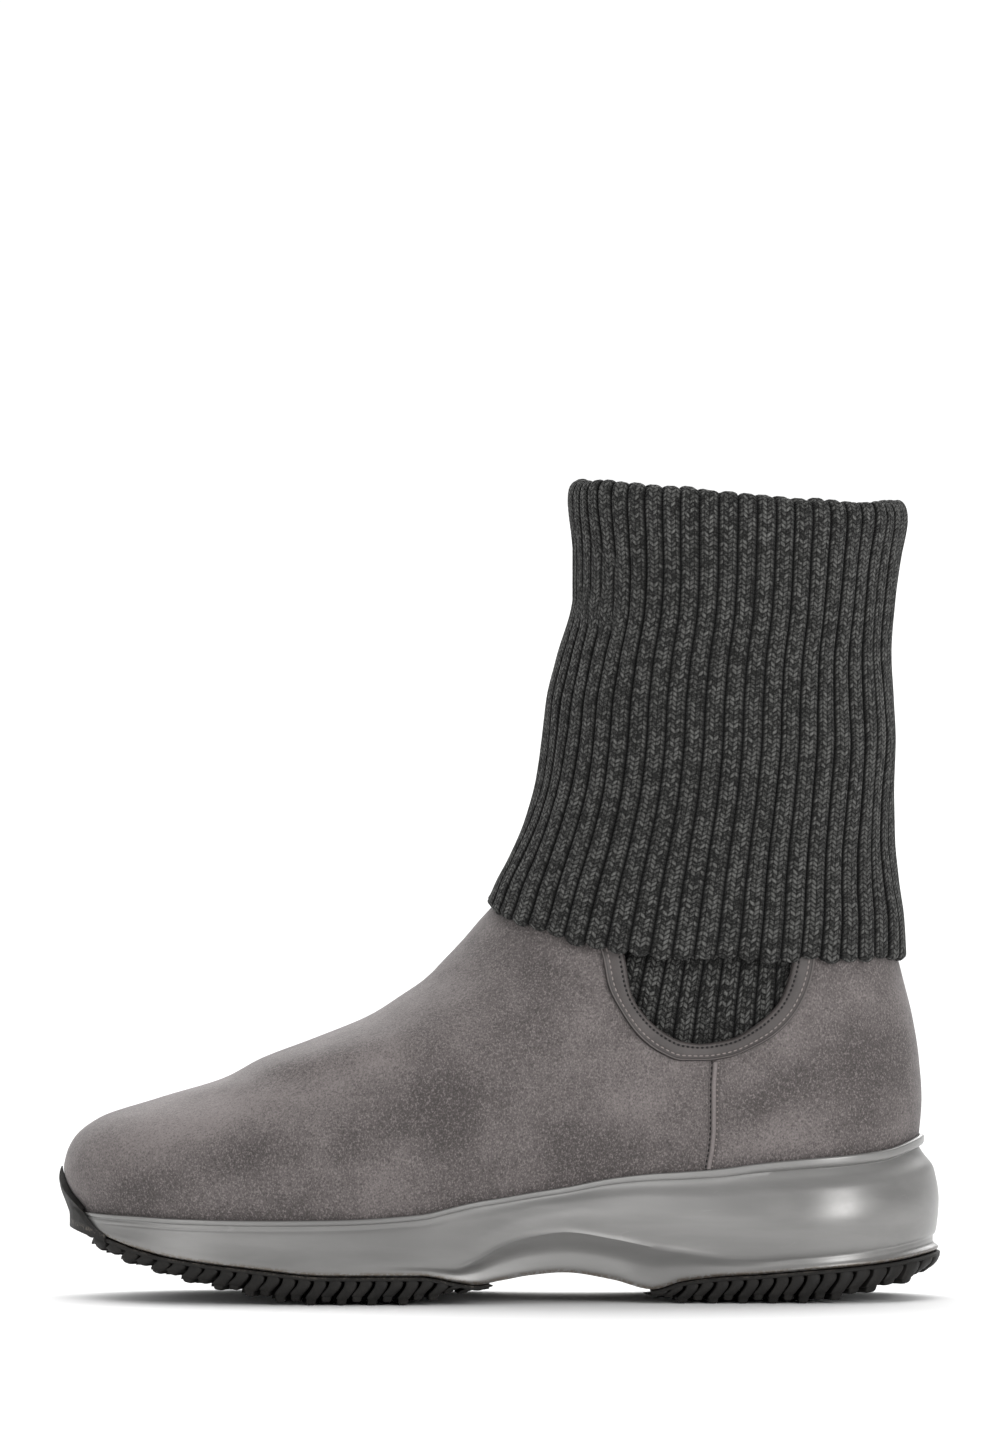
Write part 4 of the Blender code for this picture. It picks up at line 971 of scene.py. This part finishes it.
def build_knit(colours, sizes):
    """Ribbed knit: the tube inside the foot and the cuff folded down over it, one closed solid."""
    grid, angles, parts = knit_rows()
    rows, count = grid.shape[:2]
    up = np.roll(grid, -1, 0) - np.roll(grid, 1, 0)
    along = np.roll(grid, -1, 1) - np.roll(grid, 1, 1)
    normals = np.cross(along, up)
    normals = normals / np.maximum(np.linalg.norm(normals, axis=2), 1e-9)[:, :, None]
    start = np.cumsum([0] + parts)
    phase = np.tile(RIB_STEPS, RIBS)
    crest = np.abs(np.sin(pi * phase)) ** 0.45
    dip = 0.10 * np.exp(-((phase - 0.5) / 0.07) ** 2)
    depth = np.full(rows, 1.0)
    depth[:start[1]] = 0.25
    depth[start[5]:] = 0.85
    ribs = (crest - dip - 1.0)[None, :] * sizes.rib_depth * depth[:, None]
    turn = angles[None, :]
    height = grid[:, :, 2] / HEIGHT
    soft = np.zeros(height.shape)
    for deep, around, climb, begin in WAVES["rows"]:
        soft = soft + deep * MM * np.sin(around * turn + climb * height + begin)
    loose = np.zeros(rows)
    loose[start[1]:start[4]] = 1.0
    rng = np.random.default_rng(7)
    rib_random = np.repeat(rng.normal(0, 0.00016, RIBS), len(RIB_STEPS))
    shift = ribs + (soft + 0.0002) * loose[:, None] + rib_random[None, :] * loose[:, None]
    skin = grid + normals * shift[:, :, None]
    hang = np.repeat(rng.normal(0, 0.00045, RIBS), len(RIB_STEPS))
    hang = hang + 0.0006 * (0.5 - np.abs(np.sin(pi * phase)))
    near_hem = np.exp(-((grid[:, :, 2] - line_at(HEM, "height")(grid[:, :, 0])) / 0.004) ** 2)
    near_hem[start[4]:] = 0
    skin[:, :, 2] += near_hem * hang[None, :]
    faces = grid_faces(rows, count, wrap_rows=True)
    item = new_piece("knit_shaft_and_cuff", skin, faces)
    steps = np.linalg.norm(np.diff(grid, axis=0), axis=2).mean(1)
    run = np.concatenate([[0], np.cumsum(steps)]) / sizes.stitch_row
    rib_at = np.append(np.arange(RIBS)[:, None] + np.array(RIB_STEPS)[None, :], RIBS)
    layer = item.data.attributes.new("knit", "FLOAT_VECTOR", "CORNER")
    index = np.zeros(len(item.data.loops), int)
    item.data.loops.foreach_get("vertex_index", index)
    corners = index.reshape(-1, 4)
    col = corners % count
    row = corners // count
    wraps = (col.max(1) - col.min(1) > count // 2)[:, None] & (col == 0)
    col = np.where(wraps, count, col)
    values = np.stack([rib_at[col], run[row], np.zeros(col.shape)], -1)
    layer.data.foreach_set("vector", values.astype(np.float32).ravel())
    dress(item, knit_finish(colours), "knit", "knit_shaft")


def side_value(u, name):
    """Stand-off of the midsole's side at one of its named lines."""
    return BULGE * follow(SIDES, name, u)


def build_midsole(colours):
    """Moulded midsole: lip, bead and groove, bulging heel, arch scoop and the cup that holds the upper."""
    count = MIDSOLE_COLUMNS
    base = ring(sole_top, full(count))
    n = flat_normals(base)
    u = place(base[:, 0])
    top = sole_top(base[:, 0])
    crease = sole_crease(base[:, 0])
    bottom = sole_bottom(base[:, 0])
    bead = side_value(u, "bead")
    lines = [
        (bottom, side_value(u, "edge") - 0.0006),
        (bottom * 0.86 + crease * 0.14, side_value(u, "edge")),
        (bottom * 0.5 + crease * 0.5, side_value(u, "scoop")),
        (crease, side_value(u, "crease")),
        (crease * 0.62 + (top - bead) * 0.38, side_value(u, "bulge")),
        (crease * 0.25 + (top - bead) * 0.75, side_value(u, "shoulder")),
        (top - bead, side_value(u, "groove")),
        (top - bead * 0.82, side_value(u, "lip") * 0.75 + side_value(u, "groove") * 0.25),
        (top - bead * 0.50, side_value(u, "lip")),
        (top - bead * 0.12, side_value(u, "lip") * 0.92 + 0.0001),
        (top, side_value(u, "lip") * 0.55 + 0.0002)]
    steps = (4, 6, 8, 9, 9, 7, 4, 4, 4, 3)
    level_z = np.array([line[0] for line in lines])
    level_off = np.array([line[1] for line in lines])
    pieces = [np.linspace(i, i + 1, s, endpoint=False) for i, s in enumerate(steps)]
    at = np.concatenate(pieces + [[len(steps)]])
    z = np.stack([np.interp(at, np.arange(len(lines)), level_z[:, k]) for k in range(count)], 1)
    off = np.stack([smooth_through(level_z[:, k], level_off[:, k], z[:, k]) for k in range(count)], 1)
    arch = ease((u - 0.43) / 0.05) * ease((0.76 - u) / 0.08)
    from_crease = (z - crease[None, :]) / MM
    off += ARCH_EDGE * arch * np.exp(-np.abs(from_crease) / 0.9)
    fore = ease((u - 0.04) / 0.05) * ease((0.48 - u) / 0.06)
    from_groove = (z - (top - bead)[None, :]) / MM
    off -= FORE_LINE * fore * np.exp(-((from_groove + 1.5) / 0.35) ** 2)
    heel = ease((u - 0.74) / 0.08)
    off -= HEEL_GROOVE * heel * np.exp(-(from_groove / 0.7) ** 2)
    off -= HEEL_CREASE * heel * np.exp(-((from_crease + 0.9) / 0.8) ** 2)
    rows = [base + n * off[i][:, None] for i in range(len(at))]
    for i, row in enumerate(rows):
        row[:, 2] = z[i]
    cup = []
    for share in (1.0, 0.75, 0.5, 0.25, 0.0):
        row = ring(blend(sole_floor, sole_top, share), full(count))
        cup.append(row + flat_normals(row) * GAP * 1.3)
    grid = np.stack(rows + cup)
    faces = grid_faces(len(grid), count)
    faces += ladder(count, 0) + ladder(count, (len(grid) - 1) * count)
    item = new_piece("moulded_midsole", grid, faces, sharp=50)
    dust = np.zeros(grid.shape[:2])
    dust[:len(at)] = np.exp(-((z - bottom[None, :]) / MM / 1.1) ** 2)
    add_numbers(item.data, "dust", dust)
    dress(item, moulded_finish(colours), "moulded_sole", "midsole")


class Outline:
    """The sole's outline by distance along it from the toe, positive along the lateral side."""

    def __init__(self):
        self.points = ring(sole_top, full(1440))
        self.normals = flat_normals(self.points)
        step = np.linalg.norm(np.roll(self.points, -1, 0) - self.points, axis=1)
        self.run = np.concatenate([[0], np.cumsum(step)])
        self.whole = self.run[-1]

    def at(self, s):
        """Point, outward direction and toe-to-heel share of the tangent."""
        s = np.asarray(s) % self.whole
        closed = np.concatenate([self.points, self.points[:1]])
        outward = np.concatenate([self.normals, self.normals[:1]])
        p = np.stack([np.interp(s, self.run, closed[:, i]) for i in range(3)], -1)
        n = np.stack([np.interp(s, self.run, outward[:, i]) for i in range(3)], -1)
        n = n / np.linalg.norm(n, axis=-1)[..., None]
        return p, n, -n[..., 1]

    def reach(self, share, side):
        """Distance from the toe to a share of the length, along one side."""
        half = len(self.points) // 2
        u = place(self.points[:, 0])
        lateral = np.interp(share, u[:half], self.run[:half])
        medial = np.interp(share, u[half:][::-1], self.run[half:-1][::-1])
        return lateral if side < 0 else medial - self.whole


def lug(parts, outline, middle, ground, short, wide):
    """One lug: a curved fin from the plate to the ground with a narrower stepped foot."""
    half = [(0.25, 0), (0.68, 0.006), (0.92, 0.035), (1, 0.10), (1, 1)]
    loop = np.array([(-across, deep) for across, deep in half[::-1]] + half)
    forward = outline.at(middle)[2]
    levels = []
    for down, width, out, lean in LUG["rows"]:
        v = down / 100
        s = middle - forward * LUG_LEAN * (lean / 100 - 0.5)
        s = s + loop[:, 0] * LUG_WIDTH * wide / 2 * width / 100
        p, n, _ = outline.at(s)
        u = place(p[:, 0])
        tuck = (1.0 - ease((u - 0.016) / 0.06)) * 0.0010 * v
        tuck = tuck + ease((u - 0.94) / 0.03) * 0.0034 * v ** 2
        away = side_value(u, "edge") + LUG_OUT * out / 100 - tuck - loop[:, 1] * LUG_DEEP
        q = p + n * away[:, None]
        roof = sole_bottom(p[:, 0]) - 0.0008
        low = np.minimum(ground(p[:, 0]) + short, roof - 0.001)
        q[:, 2] = roof * (1 - v) + low * v
        levels.append(q)
    size = len(loop)
    foot = (len(levels) - 1) * size
    faces = grid_faces(len(levels), size) + [tuple(range(foot, foot + size))]
    parts.add(np.concatenate(levels), faces)


def lugs_along(parts, outline, first, last, ground):
    """Lugs side by side along the outline, long and short in turn."""
    s = np.linspace(first, last, 600)
    wide = 1 / np.maximum(np.abs(outline.at(s)[2]), 0.6)
    run = np.concatenate([[0], np.cumsum(np.diff(s) * 2 / (wide[1:] + wide[:-1]))])
    count = int(round(run[-1] / LUG_PITCH))
    for k in range(count + 1):
        middle = np.interp(run[-1] * k / count, run, s)
        p, _, _ = outline.at(middle)
        if sole_bottom(p[0]) - ground(p[0]) > 0.0013:
            lug(parts, outline, middle, ground, LUG_STEP * (k % 2), np.interp(middle, s, wide))


def centre_bars(parts, first, last, ground):
    """Bars across the middle of the sole between the two rows of lugs, half a step from them."""
    x = LENGTH * (first - 0.5) + LUG_PITCH
    while x < LENGTH * (last - 0.5) - LUG_PITCH * 0.7:
        roof = float(sole_bottom(x)) - PLATE * 0.6
        low = float(ground(x)) + 0.0004
        sides = [float(body_side(np.float64(x), sole_top(x), s)) for s in (-1.0, 1.0)]
        y0, y1 = sides[0] + LUG_DEEP * 0.85, sides[1] - LUG_DEEP * 0.85
        if roof - low > 0.0018 and y1 - y0 > 0.006:
            rows = []
            for share, half, z in ((0, 0.0016, roof), (0.7, 0.0015, low + 0.0006), (1, 0.0011, low)):
                lean = -LUG_LEAN * 0.5 * share
                inset = 0.0004 * share
                rows.append([(x + lean - half, y0 + inset, z), (x + lean + half, y0 + inset, z),
                             (x + lean + half, y1 - inset, z), (x + lean - half, y1 - inset, z)])
            parts.add(np.array(rows), grid_faces(3, 4) + [(8, 9, 10, 11)])
        x += LUG_PITCH


def plate(parts, angles, ground):
    """Rubber plate under the midsole that carries the lugs."""
    base = ring(sole_top, angles)
    n = flat_normals(base, closed=False)
    u = place(base[:, 0])
    away = side_value(u, "edge")
    roof = sole_bottom(base[:, 0]) - 1.2 * GAP
    toe = 1.0 - ease((u - 0.016) / 0.06)
    deep = np.minimum(RIM, np.maximum(roof - ground(base[:, 0]), 0.0010))
    rows = []
    for share, out in ((0, -0.0004), (0.06, 0.0003), (0.3, 0.00055), (0.8, 0.0005), (1, 0.0001)):
        row = base + n * (away + out - toe * 0.0008 * share)[:, None]
        row[:, 2] = roof - deep * share
        rows.append(row)
    count = len(angles)
    faces = grid_faces(len(rows), count)
    faces += ladder(count, 0, False) + ladder(count, (len(rows) - 1) * count, False)
    parts.add(np.concatenate(rows), faces)


def bumper(parts):
    """Rubber turned up over the toe."""
    reach = 0.42    # angle on each side of the toe, in radians
    count = 81
    angles = np.linspace(-reach, reach, count) % (2 * pi)
    share = np.abs(np.linspace(-1, 1, count))
    base = ring(sole_top, angles)
    n = flat_normals(base, closed=False)
    u = place(base[:, 0])
    beside = np.max([side_value(u, c) for c in ("lip", "bulge", "crease", "scoop", "edge")], 0)
    foot = sole_bottom(base[:, 0]) - GAP - 0.0012
    rim = sole_top(base[:, 0]) + 0.0009
    edge = np.maximum(HEIGHT * follow(BUMPER_EDGE, "height", share), foot + 0.0006)
    outside, inside = [], []
    for step in np.linspace(0, 1, 21):
        level = edge + (foot - edge) * step
        at = np.array([ring(lambda x, h=h: np.full_like(np.asarray(x, float), h), [a])[0]
                       for h, a in zip(np.maximum(level, 0.104 * HEIGHT), angles)])
        at[:, 2] = level
        away = BULGE * follow(BUMPER, "off", level / HEIGHT) * (1.0 - 0.5 * share ** 2)
        clear = GAP + beside * ease((rim + 0.0008 - level) / 0.0010)
        thick = 0.0010 * ease(step / 0.30) * (1 - 0.5 * share ** 4) + 0.0002
        outside.append(at + n * np.maximum(away, clear + thick)[:, None])
        inside.append(at + n * clear[:, None])
    rows = outside + inside[::-1]
    faces = grid_faces(len(rows), count, wrap_rows=True, wrap_columns=False)
    size = len(rows)
    for k in (0, count - 1):
        for a in range(size // 2 - 1):
            faces.append(tuple(i * count + k for i in (a, a + 1, size - 2 - a, size - 1 - a)))
    parts.add(np.concatenate(rows), faces)


def angle_at(share):
    """Angle on the sole outline at a share of the length."""
    tips = ring(sole_top, [0, pi])
    x = LENGTH * (share - 0.5)
    return np.arccos(1 - 2 * (x - tips[0][0]) / (tips[1][0] - tips[0][0]))


def build_tread(name, first, last, ground, colours, slot, node, toe):
    """One outsole: its plate, the lugs round it, the bars between them and any toe bumper."""
    parts = Parts()
    outline = Outline()
    if toe:
        a = angle_at(last)
        plate(parts, np.linspace(-a, a, 260) % (2 * pi), ground)
        bumper(parts)
        lugs_along(parts, outline, outline.reach(last, 1) + 0.002, outline.reach(last, -1) - 0.002, ground)
    else:
        a = angle_at(first)
        plate(parts, np.linspace(a, 2 * pi - a, 260), ground)
        lugs_along(parts, outline, outline.reach(first, -1) + 0.002,
                   outline.reach(first, 1) + outline.whole - 0.002, ground)
    centre_bars(parts, first, last, ground)
    item = parts.piece(name, sharp=40)
    points = np.array([v.co[:] for v in item.data.vertices])
    rim = (points[:, 2] - sole_bottom(points[:, 0])) / MM
    add_numbers(item.data, "dust", np.exp(-(rim / 0.9) ** 2))
    dress(item, rubber_finish(slot, colours), slot, node)


class BootSizes(bpy.types.PropertyGroup):
    """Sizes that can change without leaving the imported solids."""

    crease_depth: FloatProperty(
        name="Crease depth", description="Depth of the soft creases of the suede", subtype="FACTOR",
        default=1.0, min=0.0, max=2.0)
    rib_depth: FloatProperty(
        name="Rib depth", description="Depth of the valley between two ribs of the knit",
        default=0.0013, min=0.0002, max=0.0018, unit="LENGTH", precision=5)
    stitch_row: FloatProperty(
        name="Stitch row", description="Height of one row of stitches of the knit",
        default=0.00138, min=0.0008, max=0.004, unit="LENGTH", precision=5)
    camera_distance: FloatProperty(
        name="Camera distance", description="Distance from the camera to the boot",
        default=5.0, min=1.0, max=20.0, unit="LENGTH")


class BootColours(bpy.types.PropertyGroup):
    """Base colours of the materials."""

    suede: FloatVectorProperty(
        name="Suede", description="Colour of the suede foot", subtype="COLOR", min=0, max=1,
        default=(0.144, 0.128, 0.1255))
    knit: FloatVectorProperty(
        name="Knit", description="Colour of the heather yarn", subtype="COLOR", min=0, max=1,
        default=(0.048, 0.048, 0.046))
    binding: FloatVectorProperty(
        name="Binding", description="Colour of the leather binding", subtype="COLOR", min=0, max=1,
        default=(0.060, 0.052, 0.050))
    midsole: FloatVectorProperty(
        name="Midsole", description="Colour of the moulded midsole", subtype="COLOR", min=0, max=1,
        default=(0.213, 0.210, 0.205))
    rubber: FloatVectorProperty(
        name="Rubber", description="Colour of the treads", subtype="COLOR", min=0, max=1,
        default=(0.014, 0.013, 0.012))
    footbed: FloatVectorProperty(
        name="Footbed", description="Colour of the footbed and lining", subtype="COLOR", min=0, max=1,
        default=(0.080, 0.078, 0.075))


class BOOT_OT_upper(bpy.types.Operator):
    """Build the suede upper"""
    bl_idname = "boot.upper"
    bl_label = "Suede Upper"

    def execute(self, context):
        build_upper(context.scene.boot_colours)
        return {"FINISHED"}


class BOOT_OT_trims(bpy.types.Operator):
    """Build the bindings, the side seams and their stitches"""
    bl_idname = "boot.trims"
    bl_label = "Bindings and Seams"

    def execute(self, context):
        colours = context.scene.boot_colours
        dark, light = Parts(), Parts()
        build_bindings(colours, dark, light)
        build_seams(colours, dark, light)
        dress(dark.piece("dark_stitches"), thread_finish("dark_thread", DARK_THREAD), "lateral_binding")
        dress(light.piece("light_stitches"), thread_finish("light_thread", LIGHT_THREAD), "lateral_binding")
        return {"FINISHED"}


class BOOT_OT_knit(bpy.types.Operator):
    """Build the ribbed shaft and its folded cuff"""
    bl_idname = "boot.knit"
    bl_label = "Knit Shaft"

    def execute(self, context):
        build_knit(context.scene.boot_colours, context.scene.boot_sizes)
        return {"FINISHED"}


class BOOT_OT_midsole(bpy.types.Operator):
    """Build the moulded midsole"""
    bl_idname = "boot.midsole"
    bl_label = "Midsole"

    def execute(self, context):
        build_midsole(context.scene.boot_colours)
        return {"FINISHED"}


class BOOT_OT_treads(bpy.types.Operator):
    """Build the forefoot and heel outsoles with their lugs"""
    bl_idname = "boot.treads"
    bl_label = "Treads"

    def execute(self, context):
        colours = context.scene.boot_colours
        build_tread("forefoot_tread", 0.03, FORE_END, line_at(GROUND_FRONT, "height"), colours,
                    "forefoot_rubber", "outsole_forefoot", True)
        build_tread("heel_tread", HEEL_START, 0.985, line_at(GROUND_HEEL, "height"), colours,
                    "heel_rubber", "outsole_heel", False)
        return {"FINISHED"}


class BOOT_OT_footbed(bpy.types.Operator):
    """Give the footbed its felt"""
    bl_idname = "boot.footbed"
    bl_label = "Footbed"

    def execute(self, context):
        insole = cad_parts["insole"]
        insole.data.materials.clear()
        insole.data.materials.append(footbed_finish(context.scene.boot_colours))
        return {"FINISHED"}


def area_light(name, at, toward, size, power):
    """Soft box at a place, turned toward a point."""
    data = bpy.data.lights.new(name, "AREA")
    data.shape = "RECTANGLE"
    data.size, data.size_y = size
    data.energy = power
    item = bpy.data.objects.new(name, data)
    item.location = at
    item.rotation_euler = (Vector(toward) - Vector(at)).to_track_quat("-Z", "Y").to_euler()
    bpy.context.scene.collection.objects.link(item)


def sky_light(name, direction, spread, strength):
    """Even soft light from one direction, which lights the whole floor alike."""
    data = bpy.data.lights.new(name, "SUN")
    data.angle = radians(spread)
    data.energy = strength
    item = bpy.data.objects.new(name, data)
    item.rotation_euler = (-Vector(direction)).to_track_quat("-Z", "Y").to_euler()
    bpy.context.scene.collection.objects.link(item)


def white_room():
    """World that is white at the far horizon, dimmer in front and dimmest overhead."""
    world = bpy.data.worlds.new("white_room")
    world.use_nodes = True
    bpy.context.scene.world = world
    w = Shade(world.node_tree)
    direction = w.node("ShaderNodeTexCoord", output="Generated")
    right, behind, height = w.triple(direction)
    horizon = w.mix(w.step(behind - right * 0.3, -0.3, 0.3), grey(0.68), grey(1.05))
    level = w.step(height.math("ABSOLUTE", height), 0.08, 0.26)
    back = world.node_tree.nodes["Background"]
    w.feed(back.inputs["Color"], w.mix(level, horizon, grey(0.48)))


def place_camera(sizes):
    """Camera level with the upper part of the boot, as far as the picture's flat perspective asks."""
    picture_high = 1444    # pixels
    scale = 0.0003097      # metres to a pixel
    aim = Vector((0.00050, -0.020, 0.1793))
    tilt = radians(1.0)
    data = bpy.data.cameras.new("camera")
    data.sensor_fit = "VERTICAL"
    data.sensor_height = 36.0
    data.lens = data.sensor_height * sizes.camera_distance / (picture_high * scale)
    data.clip_end = 500.0
    item = bpy.data.objects.new("camera", data)
    item.location = aim + Vector((0, -cos(tilt), sin(tilt))) * sizes.camera_distance
    item.rotation_euler = (pi / 2 - tilt, 0, 0)
    bpy.context.scene.collection.objects.link(item)
    bpy.context.scene.camera = item


class BOOT_OT_stage(bpy.types.Operator):
    """Build the floor, the light and the camera"""
    bl_idname = "boot.stage"
    bl_label = "Stage"

    def execute(self, context):
        mesh = bpy.data.meshes.new("floor")
        bm = bmesh.new()
        bmesh.ops.create_circle(bm, cap_ends=True, segments=128, radius=60.0)
        bm.to_mesh(mesh)
        bm.free()
        floor = bpy.data.objects.new("floor", mesh)
        floor.location.z = -0.0001
        mesh.materials.append(floor_finish())
        context.scene.collection.objects.link(floor)
        white_room()
        sky_light("overhead", (-0.06, 0.85, 1.0), 75.0, 4.2)
        area_light("front_box", (0.76, -1.18, 0.46), (0.08, 0, 0.04), (0.50, 0.62), 9.5)
        area_light("left_box", (-1.05, -1.05, 0.42), (-0.02, 0, 0.12), (0.6, 0.8), 3.2)
        place_camera(context.scene.boot_sizes)
        context.scene.view_settings.view_transform = "Standard"
        return {"FINISHED"}


class BOOT_PT_panel(bpy.types.Panel):
    """Lists the pieces of the boot in the sidebar"""
    bl_idname = "BOOT_PT_panel"
    bl_label = "Tall Boot"
    bl_space_type = "VIEW_3D"
    bl_region_type = "UI"
    bl_category = "Boot"

    def draw(self, context):
        for group in (context.scene.boot_sizes, context.scene.boot_colours):
            for name in group.__annotations__:
                self.layout.prop(group, name)
        for operator in OPERATORS:
            self.layout.operator(operator.bl_idname)


OPERATORS = (BOOT_OT_upper, BOOT_OT_trims, BOOT_OT_knit, BOOT_OT_midsole, BOOT_OT_treads, BOOT_OT_footbed,
             BOOT_OT_stage)
CLASSES = (BootSizes, BootColours) + OPERATORS + (BOOT_PT_panel,)


def register():
    for cls in CLASSES:
        bpy.utils.register_class(cls)
    bpy.types.Scene.boot_sizes = PointerProperty(type=BootSizes)
    bpy.types.Scene.boot_colours = PointerProperty(type=BootColours)


def unregister():
    del bpy.types.Scene.boot_colours
    del bpy.types.Scene.boot_sizes
    for cls in reversed(CLASSES):
        bpy.utils.unregister_class(cls)


def main():
    register()
    bpy.ops.boot.upper()
    bpy.ops.boot.trims()
    bpy.ops.boot.knit()
    bpy.ops.boot.midsole()
    bpy.ops.boot.treads()
    bpy.ops.boot.footbed()
    bpy.ops.boot.stage()


if __name__ == "__main__":
    main()
